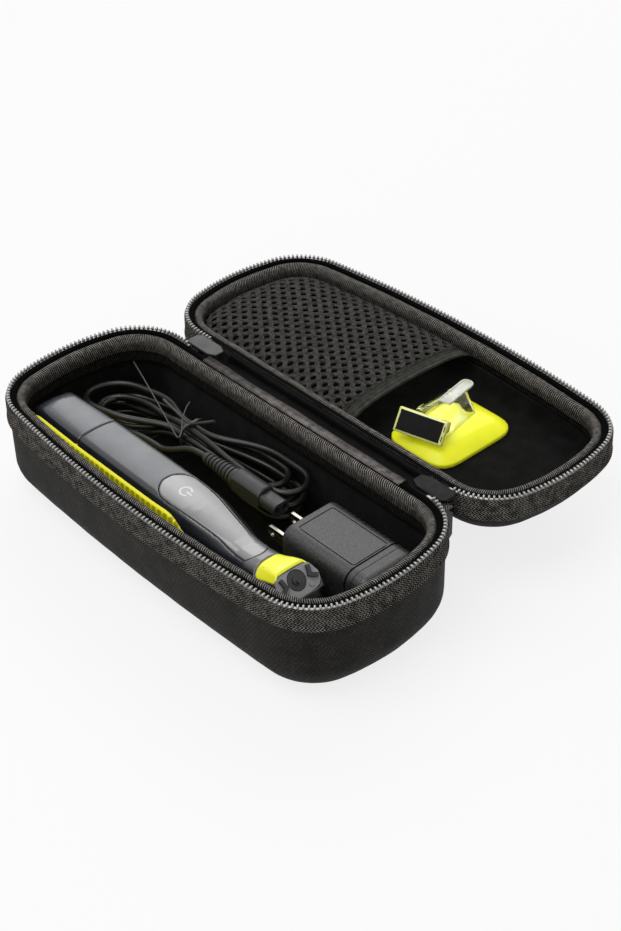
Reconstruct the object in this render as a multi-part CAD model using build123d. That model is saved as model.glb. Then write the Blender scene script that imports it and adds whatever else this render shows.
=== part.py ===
"""Zipped hard case for an electric shaver, open flat, with the shaver, its charger and a spare blade.

Frame: X along the case, Y across it, Z up. The case stands on Z = 0 and the lid's hinge line is over Y = 0,
with the base on the -Y side and the lid on the +Y side. All sizes are in millimetres.
"""
from build123d import *
import math
import os

os.makedirs("parts", exist_ok=True)

# ---- case: plan of one half ----
rim_half_length = 113.1
hinge_half_width = 46.0
front_half_width = 50.8
foot_half_width = 47.6
end_arc_radius = 103.0
corner_radius = 28.0
bow_chord = 166.0
hinge_half_gap = 6.5

# ---- case: heights ----
base_height = 51.25
lid_depth = 24.0
lid_drop = 3.0
base_foot_radius = 17.0
lid_foot_radius = 14.0

# ---- case: layers ----
wall = 4.0
lining_thickness = 1.0
glue_line = 0.1
seat_gap = 0.3
shell_top = 3.2
shell_flare = 0.5

# ---- rim binding ----
roll_top = 0.9
roll_height = 9.2
roll_outer = 1.2
roll_inner = 7.3
roll_crest = 2.4
roll_knee = 6.9
roll_knee_drop = 6.2
band_inner = 6.4
base_band_height = 6.0
lid_band_height = 4.0
rib_gap = 0.3

# ---- zip ----
tape_thickness = 0.9
tape_top = 1.9
tape_height = 10.4
bead_top = 1.6
bead_depth = 1.2
bead_inner = 0.75
tooth_pitch = 2.2
tooth_length = 0.9
tooth_width = 2.0
mesh_depth = 1.1
zip_end_left = -74.0
zip_end_right = 86.0

# ---- sliders and pull tabs ----
slider_left_x = -77.0
slider_right_x = 88.5
slider_drop = 0.3
plate_front = 17.0
plate_back = 3.2
slider_width = 9.2
slider_nose = 5.0
slider_plate = 1.4
slider_slot = 1.5
back_plate_front = 8.0
post_length = 3.0
post_width = 2.4
tongue_length = 12.0
tongue_thickness = 0.9
lug_length = 3.6
lug_thickness = 1.2
pin_radius = 0.8
eye_wall = 1.0
eye_clearance = 0.2
eye_width = 3.6
tab_length = 19.0
tab_width = 8.4
tab_thickness = 1.6
tab_hole_width = 3.0
tab_hole_length = 5.0

# ---- hinge gusset ----
gusset_thickness = 0.9
gusset_start = -59.6
gusset_end = 71.2
gusset_back = -7.5
gusset_front = 7.4
gusset_valley_y = 2.4
gusset_valley_drop = 5.6

# ---- shaver: place, and stations of its body: x, half width, top, bottom, then as shares of the half
# width the flat of the top facet, the drop of the shoulder and the rounding of its edges ----
shaver_y = -72.5
shaver_z = 28.0
shaver_stations = (
    (-101.9, 7.0, 7.0, -7.4, 0.66, 0.32, 0.2),
    (-101.0, 9.2, 9.2, -9.6, 0.66, 0.32, 0.2),
    (-98.4, 11.6, 11.6, -12.0, 0.66, 0.32, 0.2),
    (-94.0, 13.4, 13.4, -13.5, 0.68, 0.31, 0.2),
    (-60.0, 14.0, 14.0, -14.0, 0.7, 0.3, 0.2),
    (-8.0, 14.2, 14.0, -14.0, 0.7, 0.3, 0.2),
    (12.0, 13.8, 13.3, -13.8, 0.7, 0.3, 0.22),
    (30.0, 11.8, 10.4, -12.5, 0.6, 0.34, 0.35),
    (44.0, 10.2, 8.3, -10.8, 0.44, 0.42, 0.6),
    (57.0, 10.0, 9.3, -8.8, 0.44, 0.44, 0.6),
    (66.0, 10.7, 12.1, -7.6, 0.58, 0.46, 0.35),
    (73.0, 11.3, 13.5, -6.2, 0.66, 0.5, 0.2),
    (80.5, 11.2, 14.4, -4.6, 0.66, 0.5, 0.2),
)
station_pitch = 4.2
straight_span = 30.0
belly_edge_share = 0.58
housing_wall = 1.8
cavity_start = -94.0
cavity_end = 44.0
grip_line = 10.4
grip_turn_x = 4.0
grip_end_x = 50.0
grip_end_line = -11.5
tail_seam_x = -60.0
parting_gap = 0.15
dimple_pitch = 4.6
dimple_start = -90.0
dimple_end = -9.0
dimple_radius = 1.5
dimple_depth = 0.5
dimple_rows = (1.8, -2.2, -6.2)

# ---- shaver: front panel, release slide and head ----
panel_start = -9.0
panel_end = 53.0
panel_wide = 9.6
panel_neck_x = 36.0
panel_neck = 6.2
panel_thickness = 1.7
panel_gap = 0.2
panel_travel = 0.5
panel_floor = 1.2
boss_x = 4.0
boss_radius = 2.0
boss_gap = 0.2
release_start = 58.2
release_half_width = 9.3
release_corner = 3.6
release_thickness = 1.2
release_low = 5.0
release_travel = 0.8
arrow_height = 0.35
arrow_x = 63.2
arrow_length = 5.6
arrow_width = 1.7
arrow_bar = 0.5
plate_centre_x = 75.3
plate_centre_z = 8.2
plate_tilt = 45.0
plate_thickness = 1.8
plate_points = ((-4.9, 5.0), (-4.2, 8.9), (0.9, 11.1), (4.2, 10.4), (6.2, 8.4), (7.0, 4.5))
plate_corner = 1.6
stud_place = (4.1, 5.4)
stud_radius = 1.2
stud_height = 0.5
rotor_radius = 4.3
rotor_gap = 0.35
rotor_thickness = 1.6
rotor_sunk = 0.2
hub_radius = 1.6
hub_length = 3.0
boss_ring_radius = 2.0
boss_ring_height = 0.6
pin_offset = 0.9
drive_pin_radius = 0.8
drive_pin_height = 1.6
latch_stem = (0.2, 5.9)
latch_fork = (0.6, 6.4)
latch_arms = ((-3.0, 7.2), (2.2, 9.2))
latch_width = 1.7
latch_height = 1.3

# ---- shaver: inside ----
cell_radius = 7.0
cell_length = 49.0
cell_x = -64.0
cell_z = -4.4
motor_radius = 6.4
motor_length = 26.0
motor_x = 22.0
motor_z = -3.2
shaft_radius = 1.0
shaft_length = 6.0
chassis_gap = 0.3
chassis_wall = 1.4
cradle_length = 5.0
board_length = 60.0
board_width = 16.0
board_thickness = 1.4
board_x = -12.0
board_z = 5.6
switch_size = 5.0
switch_height = 2.0

# ---- charger ----
charger_left = 47.0
charger_length = 50.5
charger_cap = 8.0
charger_y = -40.2
charger_width = 32.4
charger_top = 37.0
charger_edge = 6.0
charger_end_edge = 1.6
cap_end_edge = 4.0
cap_gap = 0.3
cap_tongue = 3.0
cap_wall = 2.0
label_margin = 4.0
label_depth = 0.4
grip_rib_pitch = 3.0
grip_rib_count = 9
grip_rib_depth = 0.6
label_line = 0.6
prong_spacing = 12.7
prong_y = -42.0
prong_length = 17.8
prong_height = 6.35
prong_thickness = 1.5
prong_hole_radius = 1.6
prong_root = 4.0
prong_z = 22.0
relief_base_radius = 3.6
relief_tip_radius = 2.6
relief_length = 3.4
relief_flange_radius = 4.4
relief_flange = 1.4
relief_y = -46.0
relief_z = 20.0

# ---- cord ----
cord_diameter = 3.3
hank_gap = 0.4
run_share = 0.47

waist_start = -54.0
waist_length = 21.0
waist_y = -31.0
waist_z = 26.5
waist_width = 12.0
waist_height = 9.0
waist_round = 3.0

# ---- connector ----
connector_y = -40.5
connector_z = 29.0
boot_start = -22.0
boot_length = 22.0
boot_small_radius = 2.7
boot_large_radius = 4.8
boot_ring_count = 8
boot_groove = 0.7
connector_body_length = 19.0
connector_radius = 5.7
connector_flat = 4.6
tip_length = 10.0
tip_width = 8.6
tip_height = 6.6
barrel_radius = 1.4
barrel_depth = 6.0
barrel_spacing = 4.2

# ---- twist tie ----
tie_x = -44.0
tie_radius = 0.7
tie_gap = 0.2
tie_tail_length = 17.0
tie_tail_spread = 28.0

# ---- lid pocket ----
pocket_edge_x = 15.0
pocket_inset = 6.6
pocket_drop = 10.3
pocket_steps = ((0.0, 0.0), (1.0, 0.1), (5.0, 2.8), (11.0, 5.2), (18.0, 6.5))
mesh_thickness = 1.1
hem_width = 10.0
hem_extra = 0.5

# ---- spare blade ----
tray_x = 42.0
tray_y = 51.6
tray_length = 38.0
tray_width = 49.0
tray_height = 7.4
tray_wall = 1.2
tray_corner = 11.0
tray_shoulder = 4.2
cassette_x = 39.6
cassette_y = 36.4
cassette_turn = 13.0
cassette_length = 25.5
cassette_depth = 17.6
cassette_height = 3.6
cassette_bar = 1.2
cutter_height = 2.6
cutter_rib_count = 16
cutter_rib_depth = 0.5
cover_x = 37.6
cover_y = 55.2
cover_length = 21.0
cover_depth = 12.0
cover_height = 4.0
cover_wall = 0.9
cover_corner = 2.0
tongue_reach = 20.0
tongue_width = 6.6
tongue_x = -3.2

# ---- worked out ----
half_spacing = hinge_half_width + hinge_half_gap
lid_rim = base_height - lid_drop
hinge_z = (base_height + lid_rim - mesh_depth) / 2
inner_skin = wall + glue_line + lining_thickness
lid_floor = lid_rim - lid_depth + inner_skin
charger_bottom = inner_skin + seat_gap
roll_low = -roll_top - roll_height
band_high = roll_low - rib_gap
band_clear = -band_high + base_band_height + rib_gap
foot_angles = (15, 30, 45, 60, 75, 90)
cord_radius = cord_diameter / 2


def save(name, shape):
    """Write one named piece."""
    export_step(shape, f"parts/{name}.step")


def group(pieces):
    """Several separate solids kept as one named piece."""
    return Compound([solid for piece in pieces for solid in piece.solids()])


def rod(start, end, radius):
    """Round bar between two points."""
    axis = Vector(*end) - Vector(*start)
    plane = Plane(origin=start, z_dir=axis)
    return Solid.make_cylinder(radius, axis.length, plane)


def block(low, high):
    """Box between two corners."""
    size = [b - a for a, b in zip(low, high)]
    middle = [(a + b) / 2 for a, b in zip(low, high)]
    return Pos(*middle) * Box(*size)


# ---- case halves, drawn with the tooth tips at Z = 0 and the bowed front towards -Y ----
def outline(inset, front=front_half_width):
    """Plan of a half: arcs at both ends, a bowed front, a straight hinge side and round corners."""
    bow = front - hinge_half_width
    bow_radius = ((bow_chord / 2) ** 2 + bow**2) / (2 * bow)
    end_centre = rim_half_length - end_arc_radius
    end_radius = end_arc_radius - inset
    front_centre = bow_radius - front
    front_radius = bow_radius - inset
    apart = math.hypot(end_centre, front_centre)
    along = (end_radius**2 - front_radius**2 + apart**2) / (2 * apart)
    across = math.sqrt(end_radius**2 - along**2)
    cos_a, sin_a = -end_centre / apart, front_centre / apart
    front_x = end_centre + along * cos_a + across * sin_a
    front_y = along * sin_a - across * cos_a
    back_y = hinge_half_width - inset
    back_x = end_centre + math.sqrt(end_radius**2 - back_y**2)
    tip_x = end_centre + end_radius
    sides = [
        ThreePointArc((front_x, front_y), (tip_x, 0), (back_x, back_y)),
        Line((back_x, back_y), (-back_x, back_y)),
        ThreePointArc((-back_x, back_y), (-tip_x, 0), (-front_x, front_y)),
        ThreePointArc((-front_x, front_y), (0, inset - front), (front_x, front_y)),
    ]
    face = make_face(sides)
    return fillet(face.vertices(), corner_radius - inset)


def front_at(z, depth, foot_radius):
    """Half width of the bowed front at a height: full under the tape, straighter towards the foot."""
    start = min(tape_top + tape_height, depth - foot_radius)
    share = min(1.0, max(0.0, (-z - start) / (depth - start)))
    return front_half_width + share * (foot_half_width - front_half_width)


def tub_levels(depth, foot_radius, skin):
    """Height, inset and front half width of a tub at each level, from the rim down to its floor."""
    radius = foot_radius - skin
    straight = skin - shell_flare
    levels = [(0.0, straight, front_half_width)]
    tape_low = -tape_top - tape_height
    if foot_radius - depth < tape_low:
        levels.append((tape_low, straight, front_half_width))
    for angle in (0,) + foot_angles:
        turn = math.radians(angle)
        z = skin - depth + radius * (1 - math.sin(turn))
        inset = straight + (radius + shell_flare) * (1 - math.cos(turn))
        levels.append((z, inset, front_at(z, depth, foot_radius)))
    return levels


def tub(depth, foot_radius, skin, top):
    """Solid that fills a half from its foot up to top, with its surface skin inside the outer face."""
    levels = tub_levels(depth, foot_radius, skin)
    below = [level for level in levels if level[0] < top]
    above = [level for level in levels if level[0] >= top][-1]
    share = (top - above[0]) / (below[0][0] - above[0])
    rim = tuple(a + share * (b - a) for a, b in zip(above, below[0]))
    faces = [Pos(0, 0, z) * outline(inset, front) for z, inset, front in [rim] + below]
    return loft(faces, ruled=True)


def ring(outer, inner, low, high):
    """Band that follows the rim between two insets and two heights."""
    face = outline(outer) - outline(inner)
    return extrude(Pos(0, 0, low) * face, amount=high - low)


def hinge_side_block(low_x, high_x):
    """Block round the part of the hinge side that has no zip."""
    return block((low_x, hinge_half_width / 2, -base_height), (high_x, half_spacing + 1, 1))


def make_shell(depth, foot_radius):
    return tub(depth, foot_radius, 0.0, -shell_top) - tub(depth, foot_radius, wall, -shell_top)


def make_lining(depth, foot_radius, band_height):
    top = band_high - band_height - rib_gap
    outer = tub(depth, foot_radius, wall + glue_line, top)
    return outer - tub(depth, foot_radius, inner_skin, top)


def make_binding(depth, foot_radius, band_height):
    """Edge roll over the shell's rim, and the flat band sewn below it across a groove."""
    core = wall + glue_line
    cheek = ring(core - shell_flare, roll_inner, roll_low, -roll_top)
    cap = ring(roll_outer, roll_inner, glue_line - shell_top, -roll_top)
    roll = cheek + cap - roll_mouth()
    band = ring(core - 2 * shell_flare, band_inner, band_high - band_height, band_high)
    return group([roll, band & tub(depth, foot_radius, core, band_high)])


def roll_mouth():
    """Opening inside the edge roll, sloping in from the crest and then dropping steeply."""
    levels = [(roll_low - 1, roll_inner), (roll_low, roll_inner), (-roll_knee_drop, roll_knee)]
    levels += [(-roll_top, roll_crest), (1 - roll_top, roll_crest)]
    return loft([Pos(0, 0, z) * outline(inset) for z, inset in levels], ruled=True)


def make_tape():
    """Woven tape sewn round the outside of the rim, below the teeth."""
    face = -shell_flare - glue_line
    tape = ring(face - tape_thickness, face, -tape_top - tape_height, -tape_top)
    return tape - hinge_side_block(zip_end_left, zip_end_right)


def make_teeth(phase):
    """Moulded tooth row: a bead along the rim with one block per pitch standing on it."""
    bead = ring(-shell_flare, bead_inner, -bead_top - bead_depth, -bead_top)
    bead = bead - hinge_side_block(zip_end_left, zip_end_right)
    path = outline(0.0).wire()
    count = int(path.length / tooth_pitch)
    step = path.length / count
    teeth = []
    for index in range(count):
        share = (index + phase) / count
        spot = path.position_at(share)
        if spot.Y > hinge_half_width - 1 and zip_end_left - step < spot.X < zip_end_right + step:
            continue
        along = path.tangent_at(share)
        turn = math.degrees(math.atan2(along.Y, along.X))
        tooth = Rectangle(tooth_length, tooth_width)
        teeth.append(Pos(spot.X, spot.Y, -bead_top) * Rot(0, 0, turn) * tooth)
    row = extrude(Sketch([tooth.face() for tooth in teeth]), amount=bead_top)
    return bead.fuse(*row.solids())


def place_base(shape):
    return Pos(0, -half_spacing, base_height) * shape


def place_lid(shape):
    return Pos(0, half_spacing, lid_rim) * mirror(shape, about=Plane.XZ)


# ---- sliders, pull tabs and gusset ----
plate_top_z = hinge_z - slider_drop
slot_top_z = plate_top_z - slider_plate
slot_low_z = slot_top_z - slider_slot
back_plate_z = slot_low_z - slider_plate
slider_pin_z = back_plate_z - pin_radius - eye_wall - 2 * eye_clearance


def slider_outline(front):
    """Six-sided slider plate, pointed at the end that the teeth leave."""
    half = slider_width / 2
    nose = slider_nose / 2
    taper = half - nose
    points = [(-plate_back, -nose), (-plate_back + taper, -half), (front - 2 * taper, -half)]
    points += [(front, -nose), (front, nose), (front - 2 * taper, half)]
    points += [(-plate_back + taper, half), (-plate_back, nose)]
    return make_face(Polyline(*points, close=True))


def slider(x, way):
    """Zip slider: two plates round a post, and two lugs with a pin for the pull tab on the outer face."""
    front_plate = extrude(Pos(0, 0, slot_top_z) * slider_outline(plate_front), amount=slider_plate)
    edges = front_plate.edges().filter_by_position(Axis.Z, plate_top_z - 0.01, plate_top_z + 0.01)
    front_plate = fillet(edges, slider_plate * 0.4)
    back_plate = extrude(Pos(0, 0, back_plate_z) * slider_outline(back_plate_front), amount=slider_plate)
    post_low = (-post_length / 2, -post_width / 2, slot_low_z)
    post = block(post_low, (post_length / 2, post_width / 2, slot_top_z))
    body = front_plate + back_plate + post
    reach = eye_width / 2 + eye_clearance
    for side in (-1, 1):
        low_y, high_y = sorted((side * reach, side * (reach + lug_thickness)))
        low_z = slider_pin_z - lug_length / 2
        body += block((-lug_length / 2, low_y, low_z), (lug_length / 2, high_y, back_plate_z + 0.01))
    body += rod((0, -reach, slider_pin_z), (0, reach, slider_pin_z), pin_radius)
    return Pos(x, 0, 0) * (body if way > 0 else mirror(body, about=Plane.YZ))


def pull_tab(x):
    """Flat pull that hangs from the slider's pin, with a finger hole near its end."""
    eye = rod((0, -eye_width / 2, slider_pin_z), (0, eye_width / 2, slider_pin_z), pin_radius + eye_wall)
    low = slider_pin_z - tab_length
    half = tab_width / 2
    neck = eye_width / 2
    shoulder = slider_pin_z - slider_nose
    points = [(-neck, slider_pin_z), (neck, slider_pin_z), (neck, shoulder + 2), (half, shoulder)]
    points += [(half, low + 2), (half - 2, low), (2 - half, low), (-half, low + 2), (-half, shoulder)]
    points += [(-neck, shoulder + 2)]
    plate = extrude(Plane.YZ * make_face(Polyline(*points, close=True)), amount=tab_thickness / 2, both=True)
    hole = block((-5, -tab_hole_width / 2, low + 3), (5, tab_hole_width / 2, low + 3 + tab_hole_length))
    bore = rod((0, -eye_width, slider_pin_z), (0, eye_width, slider_pin_z), pin_radius + eye_clearance)
    return Pos(x, 0, 0) * (plate + eye - hole - bore)


def tape_tongue(x):
    """Tail of the base tape that runs into a slider and carries it."""
    middle = (slot_top_z + slot_low_z) / 2
    half = tongue_thickness / 2
    face_y = -hinge_half_gap + shell_flare + glue_line
    low = (x - tongue_length / 2, face_y, middle - half)
    high = (x + tongue_length / 2, -post_width / 2 - rib_gap, middle + half)
    return block(low, high)


def gusset():
    """Flexible strip that joins the two halves along the hinge, sagging between them."""
    back_z = base_height - shell_top + glue_line + gusset_thickness
    front_z = lid_rim - shell_top + 3 * glue_line + gusset_thickness
    valley_z = hinge_z - gusset_valley_drop
    crest = base_height - roll_top
    top = [
        (gusset_back, crest - 0.3),
        (gusset_back + 2.6, crest - 0.9),
        (-1.6, hinge_z - 2.6),
        (gusset_valley_y, valley_z),
        (gusset_front - 1.4, front_z - 0.4),
        (gusset_front, front_z),
    ]
    upper = Spline(*top)
    lower_points = [
        (gusset_back, back_z - gusset_thickness),
        (gusset_back + 2.0, back_z - gusset_thickness),
        (-2.4, hinge_z - 2.6 - gusset_thickness),
        (gusset_valley_y, valley_z - gusset_thickness),
        (gusset_front - 2.0, front_z - gusset_thickness),
        (gusset_front, front_z - gusset_thickness),
    ]
    lower = Spline(*lower_points)
    ends = [Line(top[0], lower_points[0]), Line(top[-1], lower_points[-1])]
    face = make_face([upper, ends[1], lower, ends[0]])
    return extrude(Plane.YZ.offset(gusset_start) * face, amount=gusset_end - gusset_start)


# ---- shaver, drawn along X with its axis on Y = 0 and Z = 0 ----
def station_slopes(places, values):
    """Slope at each station that keeps the curve through them smooth and free of bumps."""
    runs = [b - a for a, b in zip(places, places[1:])]
    rises = [(b - a) / run for a, b, run in zip(values, values[1:], runs)]
    slopes = [0.0]
    for before, after in zip(rises, rises[1:]):
        slopes.append(2 * before * after / (before + after) if before * after > 0 else 0.0)
    return slopes + [rises[-1]]


shaver_places = [station[0] for station in shaver_stations]
shaver_columns = list(zip(*shaver_stations))[1:]
shaver_slopes = [station_slopes(shaver_places, column) for column in shaver_columns]


def section_at(x):
    """Half width, top, bottom, facet, drop and edge shares of the shaver at any place along it."""
    index = max(i for i, place in enumerate(shaver_places[:-1]) if place <= x or i == 0)
    run = shaver_places[index + 1] - shaver_places[index]
    t = (x - shaver_places[index]) / run
    found = []
    for column, slopes in zip(shaver_columns, shaver_slopes):
        start = (2 * t**3 - 3 * t**2 + 1) * column[index] + (t**3 - 2 * t**2 + t) * run * slopes[index]
        end = (3 * t**2 - 2 * t**3) * column[index + 1] + (t**3 - t**2) * run * slopes[index + 1]
        found.append(start + end)
    return found


def shaver_section(x, skin=0.0):
    """Six-sided section: flat top facet, sloping shoulders and a rounded belly."""
    half, top, bottom, flat, drop, edge = section_at(x)
    half, top, bottom = half - skin, top - skin, bottom + skin
    shoulder = top - half * drop
    points = [(-half * flat, top), (half * flat, top), (half, shoulder)]
    points += [(half, bottom), (-half, bottom), (-half, shoulder)]
    face = make_face(Polyline(*points, close=True))
    belly = [v for v in face.vertices() if v.Y < bottom + 0.01]
    face = fillet(belly, half * belly_edge_share)
    upper = [v for v in face.vertices() if v.Y > shoulder - 0.01]
    face = fillet(upper, half * edge)
    return Plane(origin=(x, 0, 0), x_dir=(0, 1, 0), z_dir=(1, 0, 0)) * face


def stations_between(start, end):
    """Places along the shaver from start to end: its stations, and steps between them where it curves."""
    inner = [place for place in shaver_places if start < place < end]
    places = [start]
    for place in inner + [end]:
        first = places[-1]
        steps = 1 if place - first > straight_span else max(1, round((place - first) / station_pitch))
        places += [first + (place - first) * (k + 1) / steps for k in range(steps)]
    return places


def shaver_form(start, end, skin=0.0):
    return loft([shaver_section(x, skin) for x in stations_between(start, end)], ruled=True)


def shaver_body():
    return shaver_form(shaver_places[0], shaver_places[-1])


shaver_solid = shaver_body()


def shaver_cavity():
    """Room inside the housing, one wall in from the outside."""
    return shaver_form(cavity_start, cavity_end, housing_wall)


def below_grip_line(gap):
    """Everything under the parting line between the grip and the handle."""
    points = [(-120, grip_line - gap), (grip_turn_x, grip_line - gap)]
    end_x = grip_end_x - gap
    rise = Spline(
        (grip_turn_x, grip_line - gap),
        ((grip_turn_x + grip_end_x) / 2, grip_line * 0.25 - gap),
        (end_x, grip_end_line),
        tangents=[(1, 0), (0.35, -1)],
    )
    rest = Polyline((end_x, grip_end_line), (end_x, -40), (-120, -40), (-120, grip_line - gap))
    face = make_face([Line(*points), rise, rest])
    return extrude(Plane.XZ * face, amount=40, both=True)


def panel_outline(grow):
    """Teardrop plan of the front panel: a round wide end, narrowing along the neck."""
    wide = panel_wide + grow
    neck = panel_neck + grow
    start = panel_start - grow
    end = panel_end + grow
    round_x = start + wide
    right = Spline((round_x, -wide), (panel_neck_x, -neck), (end - 3, -neck), tangents=[(1, 0), (1, 0)])
    left = mirror(right, about=Plane.XZ)
    nose = ThreePointArc((round_x, wide), (start, 0), (round_x, -wide))
    tip = ThreePointArc((end - 3, -neck), (end, 0), (end - 3, neck))
    return make_face([right, tip, left, nose])


def panel_prism(grow):
    return extrude(Pos(0, 0, -2) * panel_outline(grow), amount=30)


def head_frame():
    """Plane of the head plate, facing up and forward."""
    turn = math.radians(plate_tilt)
    normal = (math.sin(turn), 0, math.cos(turn))
    across = (math.cos(turn), 0, -math.sin(turn))
    return Plane(origin=(plate_centre_x, 0, plate_centre_z), x_dir=across, z_dir=normal)


def place_shaver(shape):
    return Pos(0, shaver_y, shaver_z) * shape


def grip_dimples(body):
    """Rows of shallow round dimples along both sides of the grip."""
    count = int((dimple_end - dimple_start) / dimple_pitch)
    cutters = []
    for row, height in enumerate(dimple_rows):
        for index in range(count):
            x = dimple_start + (index + 0.5 * (row % 2)) * dimple_pitch
            half = section_at(x)[0]
            for side in (-1, 1):
                inner = (x, side * (half - dimple_depth), height)
                outer = (x, side * (half + 2), height)
                cutters.append(rod(inner, outer, dimple_radius))
    return cutters


def make_shaver():
    body = shaver_solid
    cavity = shaver_cavity()
    shell = body - cavity
    neck_cut = head_cut()
    grip = shell & below_grip_line(parting_gap / 2)
    grip = grip - group(grip_dimples(body))
    upper = shell - below_grip_line(-parting_gap / 2)
    tail_box = block((-130, -40, -40), (tail_seam_x - parting_gap / 2, 40, 40))
    main_box = block((tail_seam_x + parting_gap / 2, -40, -40), (130, 40, 40))
    sunk = panel_thickness + panel_travel + boss_gap
    lowered = Pos(0, 0, -sunk) * body
    floor = (panel_prism(panel_gap) & lowered) - Pos(0, 0, -panel_floor) * lowered
    floor = floor & block((-130, -40, -40), (cavity_end + 4, 40, 40))
    recess = (panel_prism(panel_gap) & body) - lowered
    window = rod((boss_x, 0, -2), (boss_x, 0, 20), boss_radius + panel_gap)
    handle = ((upper & main_box) - recess) + floor - window - neck_cut
    panel = (panel_prism(0.0) & body) - Pos(0, 0, -panel_thickness) * body
    top_here = section_at(boss_x)[1]
    board_top = board_z + board_thickness
    boss_low = board_top + switch_height + panel_travel + boss_gap / 2
    panel = panel + rod((boss_x, 0, boss_low), (boss_x, 0, top_here - panel_thickness + 0.2), boss_radius)
    save("shaver_grip", place_shaver(grip))
    save("shaver_tail_cap", place_shaver(upper & tail_box))
    save("shaver_handle", place_shaver(handle))
    save("power_panel", place_shaver(panel))


def release_prism(back, grow):
    """Upright block over the release slide, rounded at its rear corners."""
    half = release_half_width + grow
    start = release_start - back - grow
    plan = Pos((start + 90) / 2, 0) * Rectangle(90 - start, 2 * half)
    rear = [v for v in plan.vertices() if v.X < release_start + 1]
    return extrude(Pos(0, 0, release_low) * fillet(rear, release_corner), amount=30)


def plate_face(grow):
    """Plan of the head plate in its own plane: wide in the middle, its corners rounded."""
    points = [(u, v) for u, v in plate_points] + [(u, -v) for u, v in reversed(plate_points)]
    face = make_face(Polyline(*points, close=True))
    face = fillet(face.vertices(), plate_corner)
    return offset(face, grow) if grow else face


def plate_prism(grow, low, high):
    return head_frame() * extrude(Pos(0, 0, low) * plate_face(grow), amount=high - low)


def above_plate():
    return head_frame() * (Pos(0, 0, 15) * Box(60, 60, 30))


def head_cut():
    """Seat of the release slide with its run, and the sloping cut that carries the head plate."""
    body = shaver_solid
    lowered = Pos(0, 0, -release_thickness - panel_gap) * body
    seat = (release_prism(release_travel, panel_gap) & body) - lowered
    seat = seat + plate_prism(glue_line, -plate_thickness - glue_line, 1)
    pocket = rod((0, 0, -plate_thickness - hub_length - 1), (0, 0, 1), hub_radius + rotor_gap)
    return group([seat, above_plate(), head_frame() * pocket])


def make_head():
    body = shaver_solid
    lowered = Pos(0, 0, -release_thickness) * body
    room = release_prism(0.0, 0.0)
    trim = above_plate() + plate_prism(panel_gap, -plate_thickness - 1, 1)
    half = arrow_width / 2
    corners = ((arrow_x - half, 0), (arrow_x + half, 0), (arrow_x, -arrow_length))
    arrow = make_face(Polyline(*corners, close=True))
    bar = Pos(arrow_x - 2 * half - arrow_bar, -arrow_length / 2) * Rectangle(arrow_bar, arrow_length)
    raised = extrude(arrow + bar, amount=30) & (Pos(0, 0, arrow_height) * body)
    release = ((room & body) - lowered + (raised - lowered)) - trim
    slab = extrude(Pos(0, 0, -plate_thickness) * plate_face(0.0), amount=plate_thickness)
    slab = slab - Cylinder(rotor_radius + rotor_gap, 3 * plate_thickness)
    for side in (-1, 1):
        spot = (stud_place[0], side * stud_place[1])
        slab = slab + rod((*spot, -glue_line), (*spot, stud_height), stud_radius)
    save("blade_release", place_shaver(release))
    save("head_plate", place_shaver(head_frame() * slab))


def bar_between(start, end, width):
    """Flat bar with square ends between two points of a plane."""
    run = Vector(*end) - Vector(*start)
    turn = math.degrees(math.atan2(run.Y, run.X))
    middle = (Vector(*start) + Vector(*end)) * 0.5
    return Pos(middle.X, middle.Y) * Rot(0, 0, turn) * Rectangle(run.length + width / 2, width)


def make_latches():
    """Two Y-shaped spring latches that stand on the head plate, one on each side of the rotor."""
    pieces = []
    for side in (-1, 1):
        stem, fork = [(u, side * v) for u, v in (latch_stem, latch_fork)]
        face = bar_between(stem, fork, latch_width)
        for u, v in latch_arms:
            face = face + bar_between(fork, (u, side * v), latch_width)
        pieces.append(head_frame() * extrude(Pos(0, 0, glue_line) * face, amount=latch_height))
    return pieces


def make_rotor():
    """Round drive disc with a centre boss and an off-centre pin, on a hub that turns in the head."""
    disc_low = -rotor_sunk - rotor_thickness
    disc = rod((0, 0, disc_low), (0, 0, -rotor_sunk), rotor_radius)
    hub = rod((0, 0, disc_low - hub_length), (0, 0, disc_low + 0.01), hub_radius)
    boss = rod((0, 0, disc_low), (0, 0, boss_ring_height - rotor_sunk), boss_ring_radius)
    pin = rod((pin_offset, 0, disc_low), (pin_offset, 0, drive_pin_height), drive_pin_radius)
    return head_frame() * (disc + hub + boss + pin)


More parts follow.
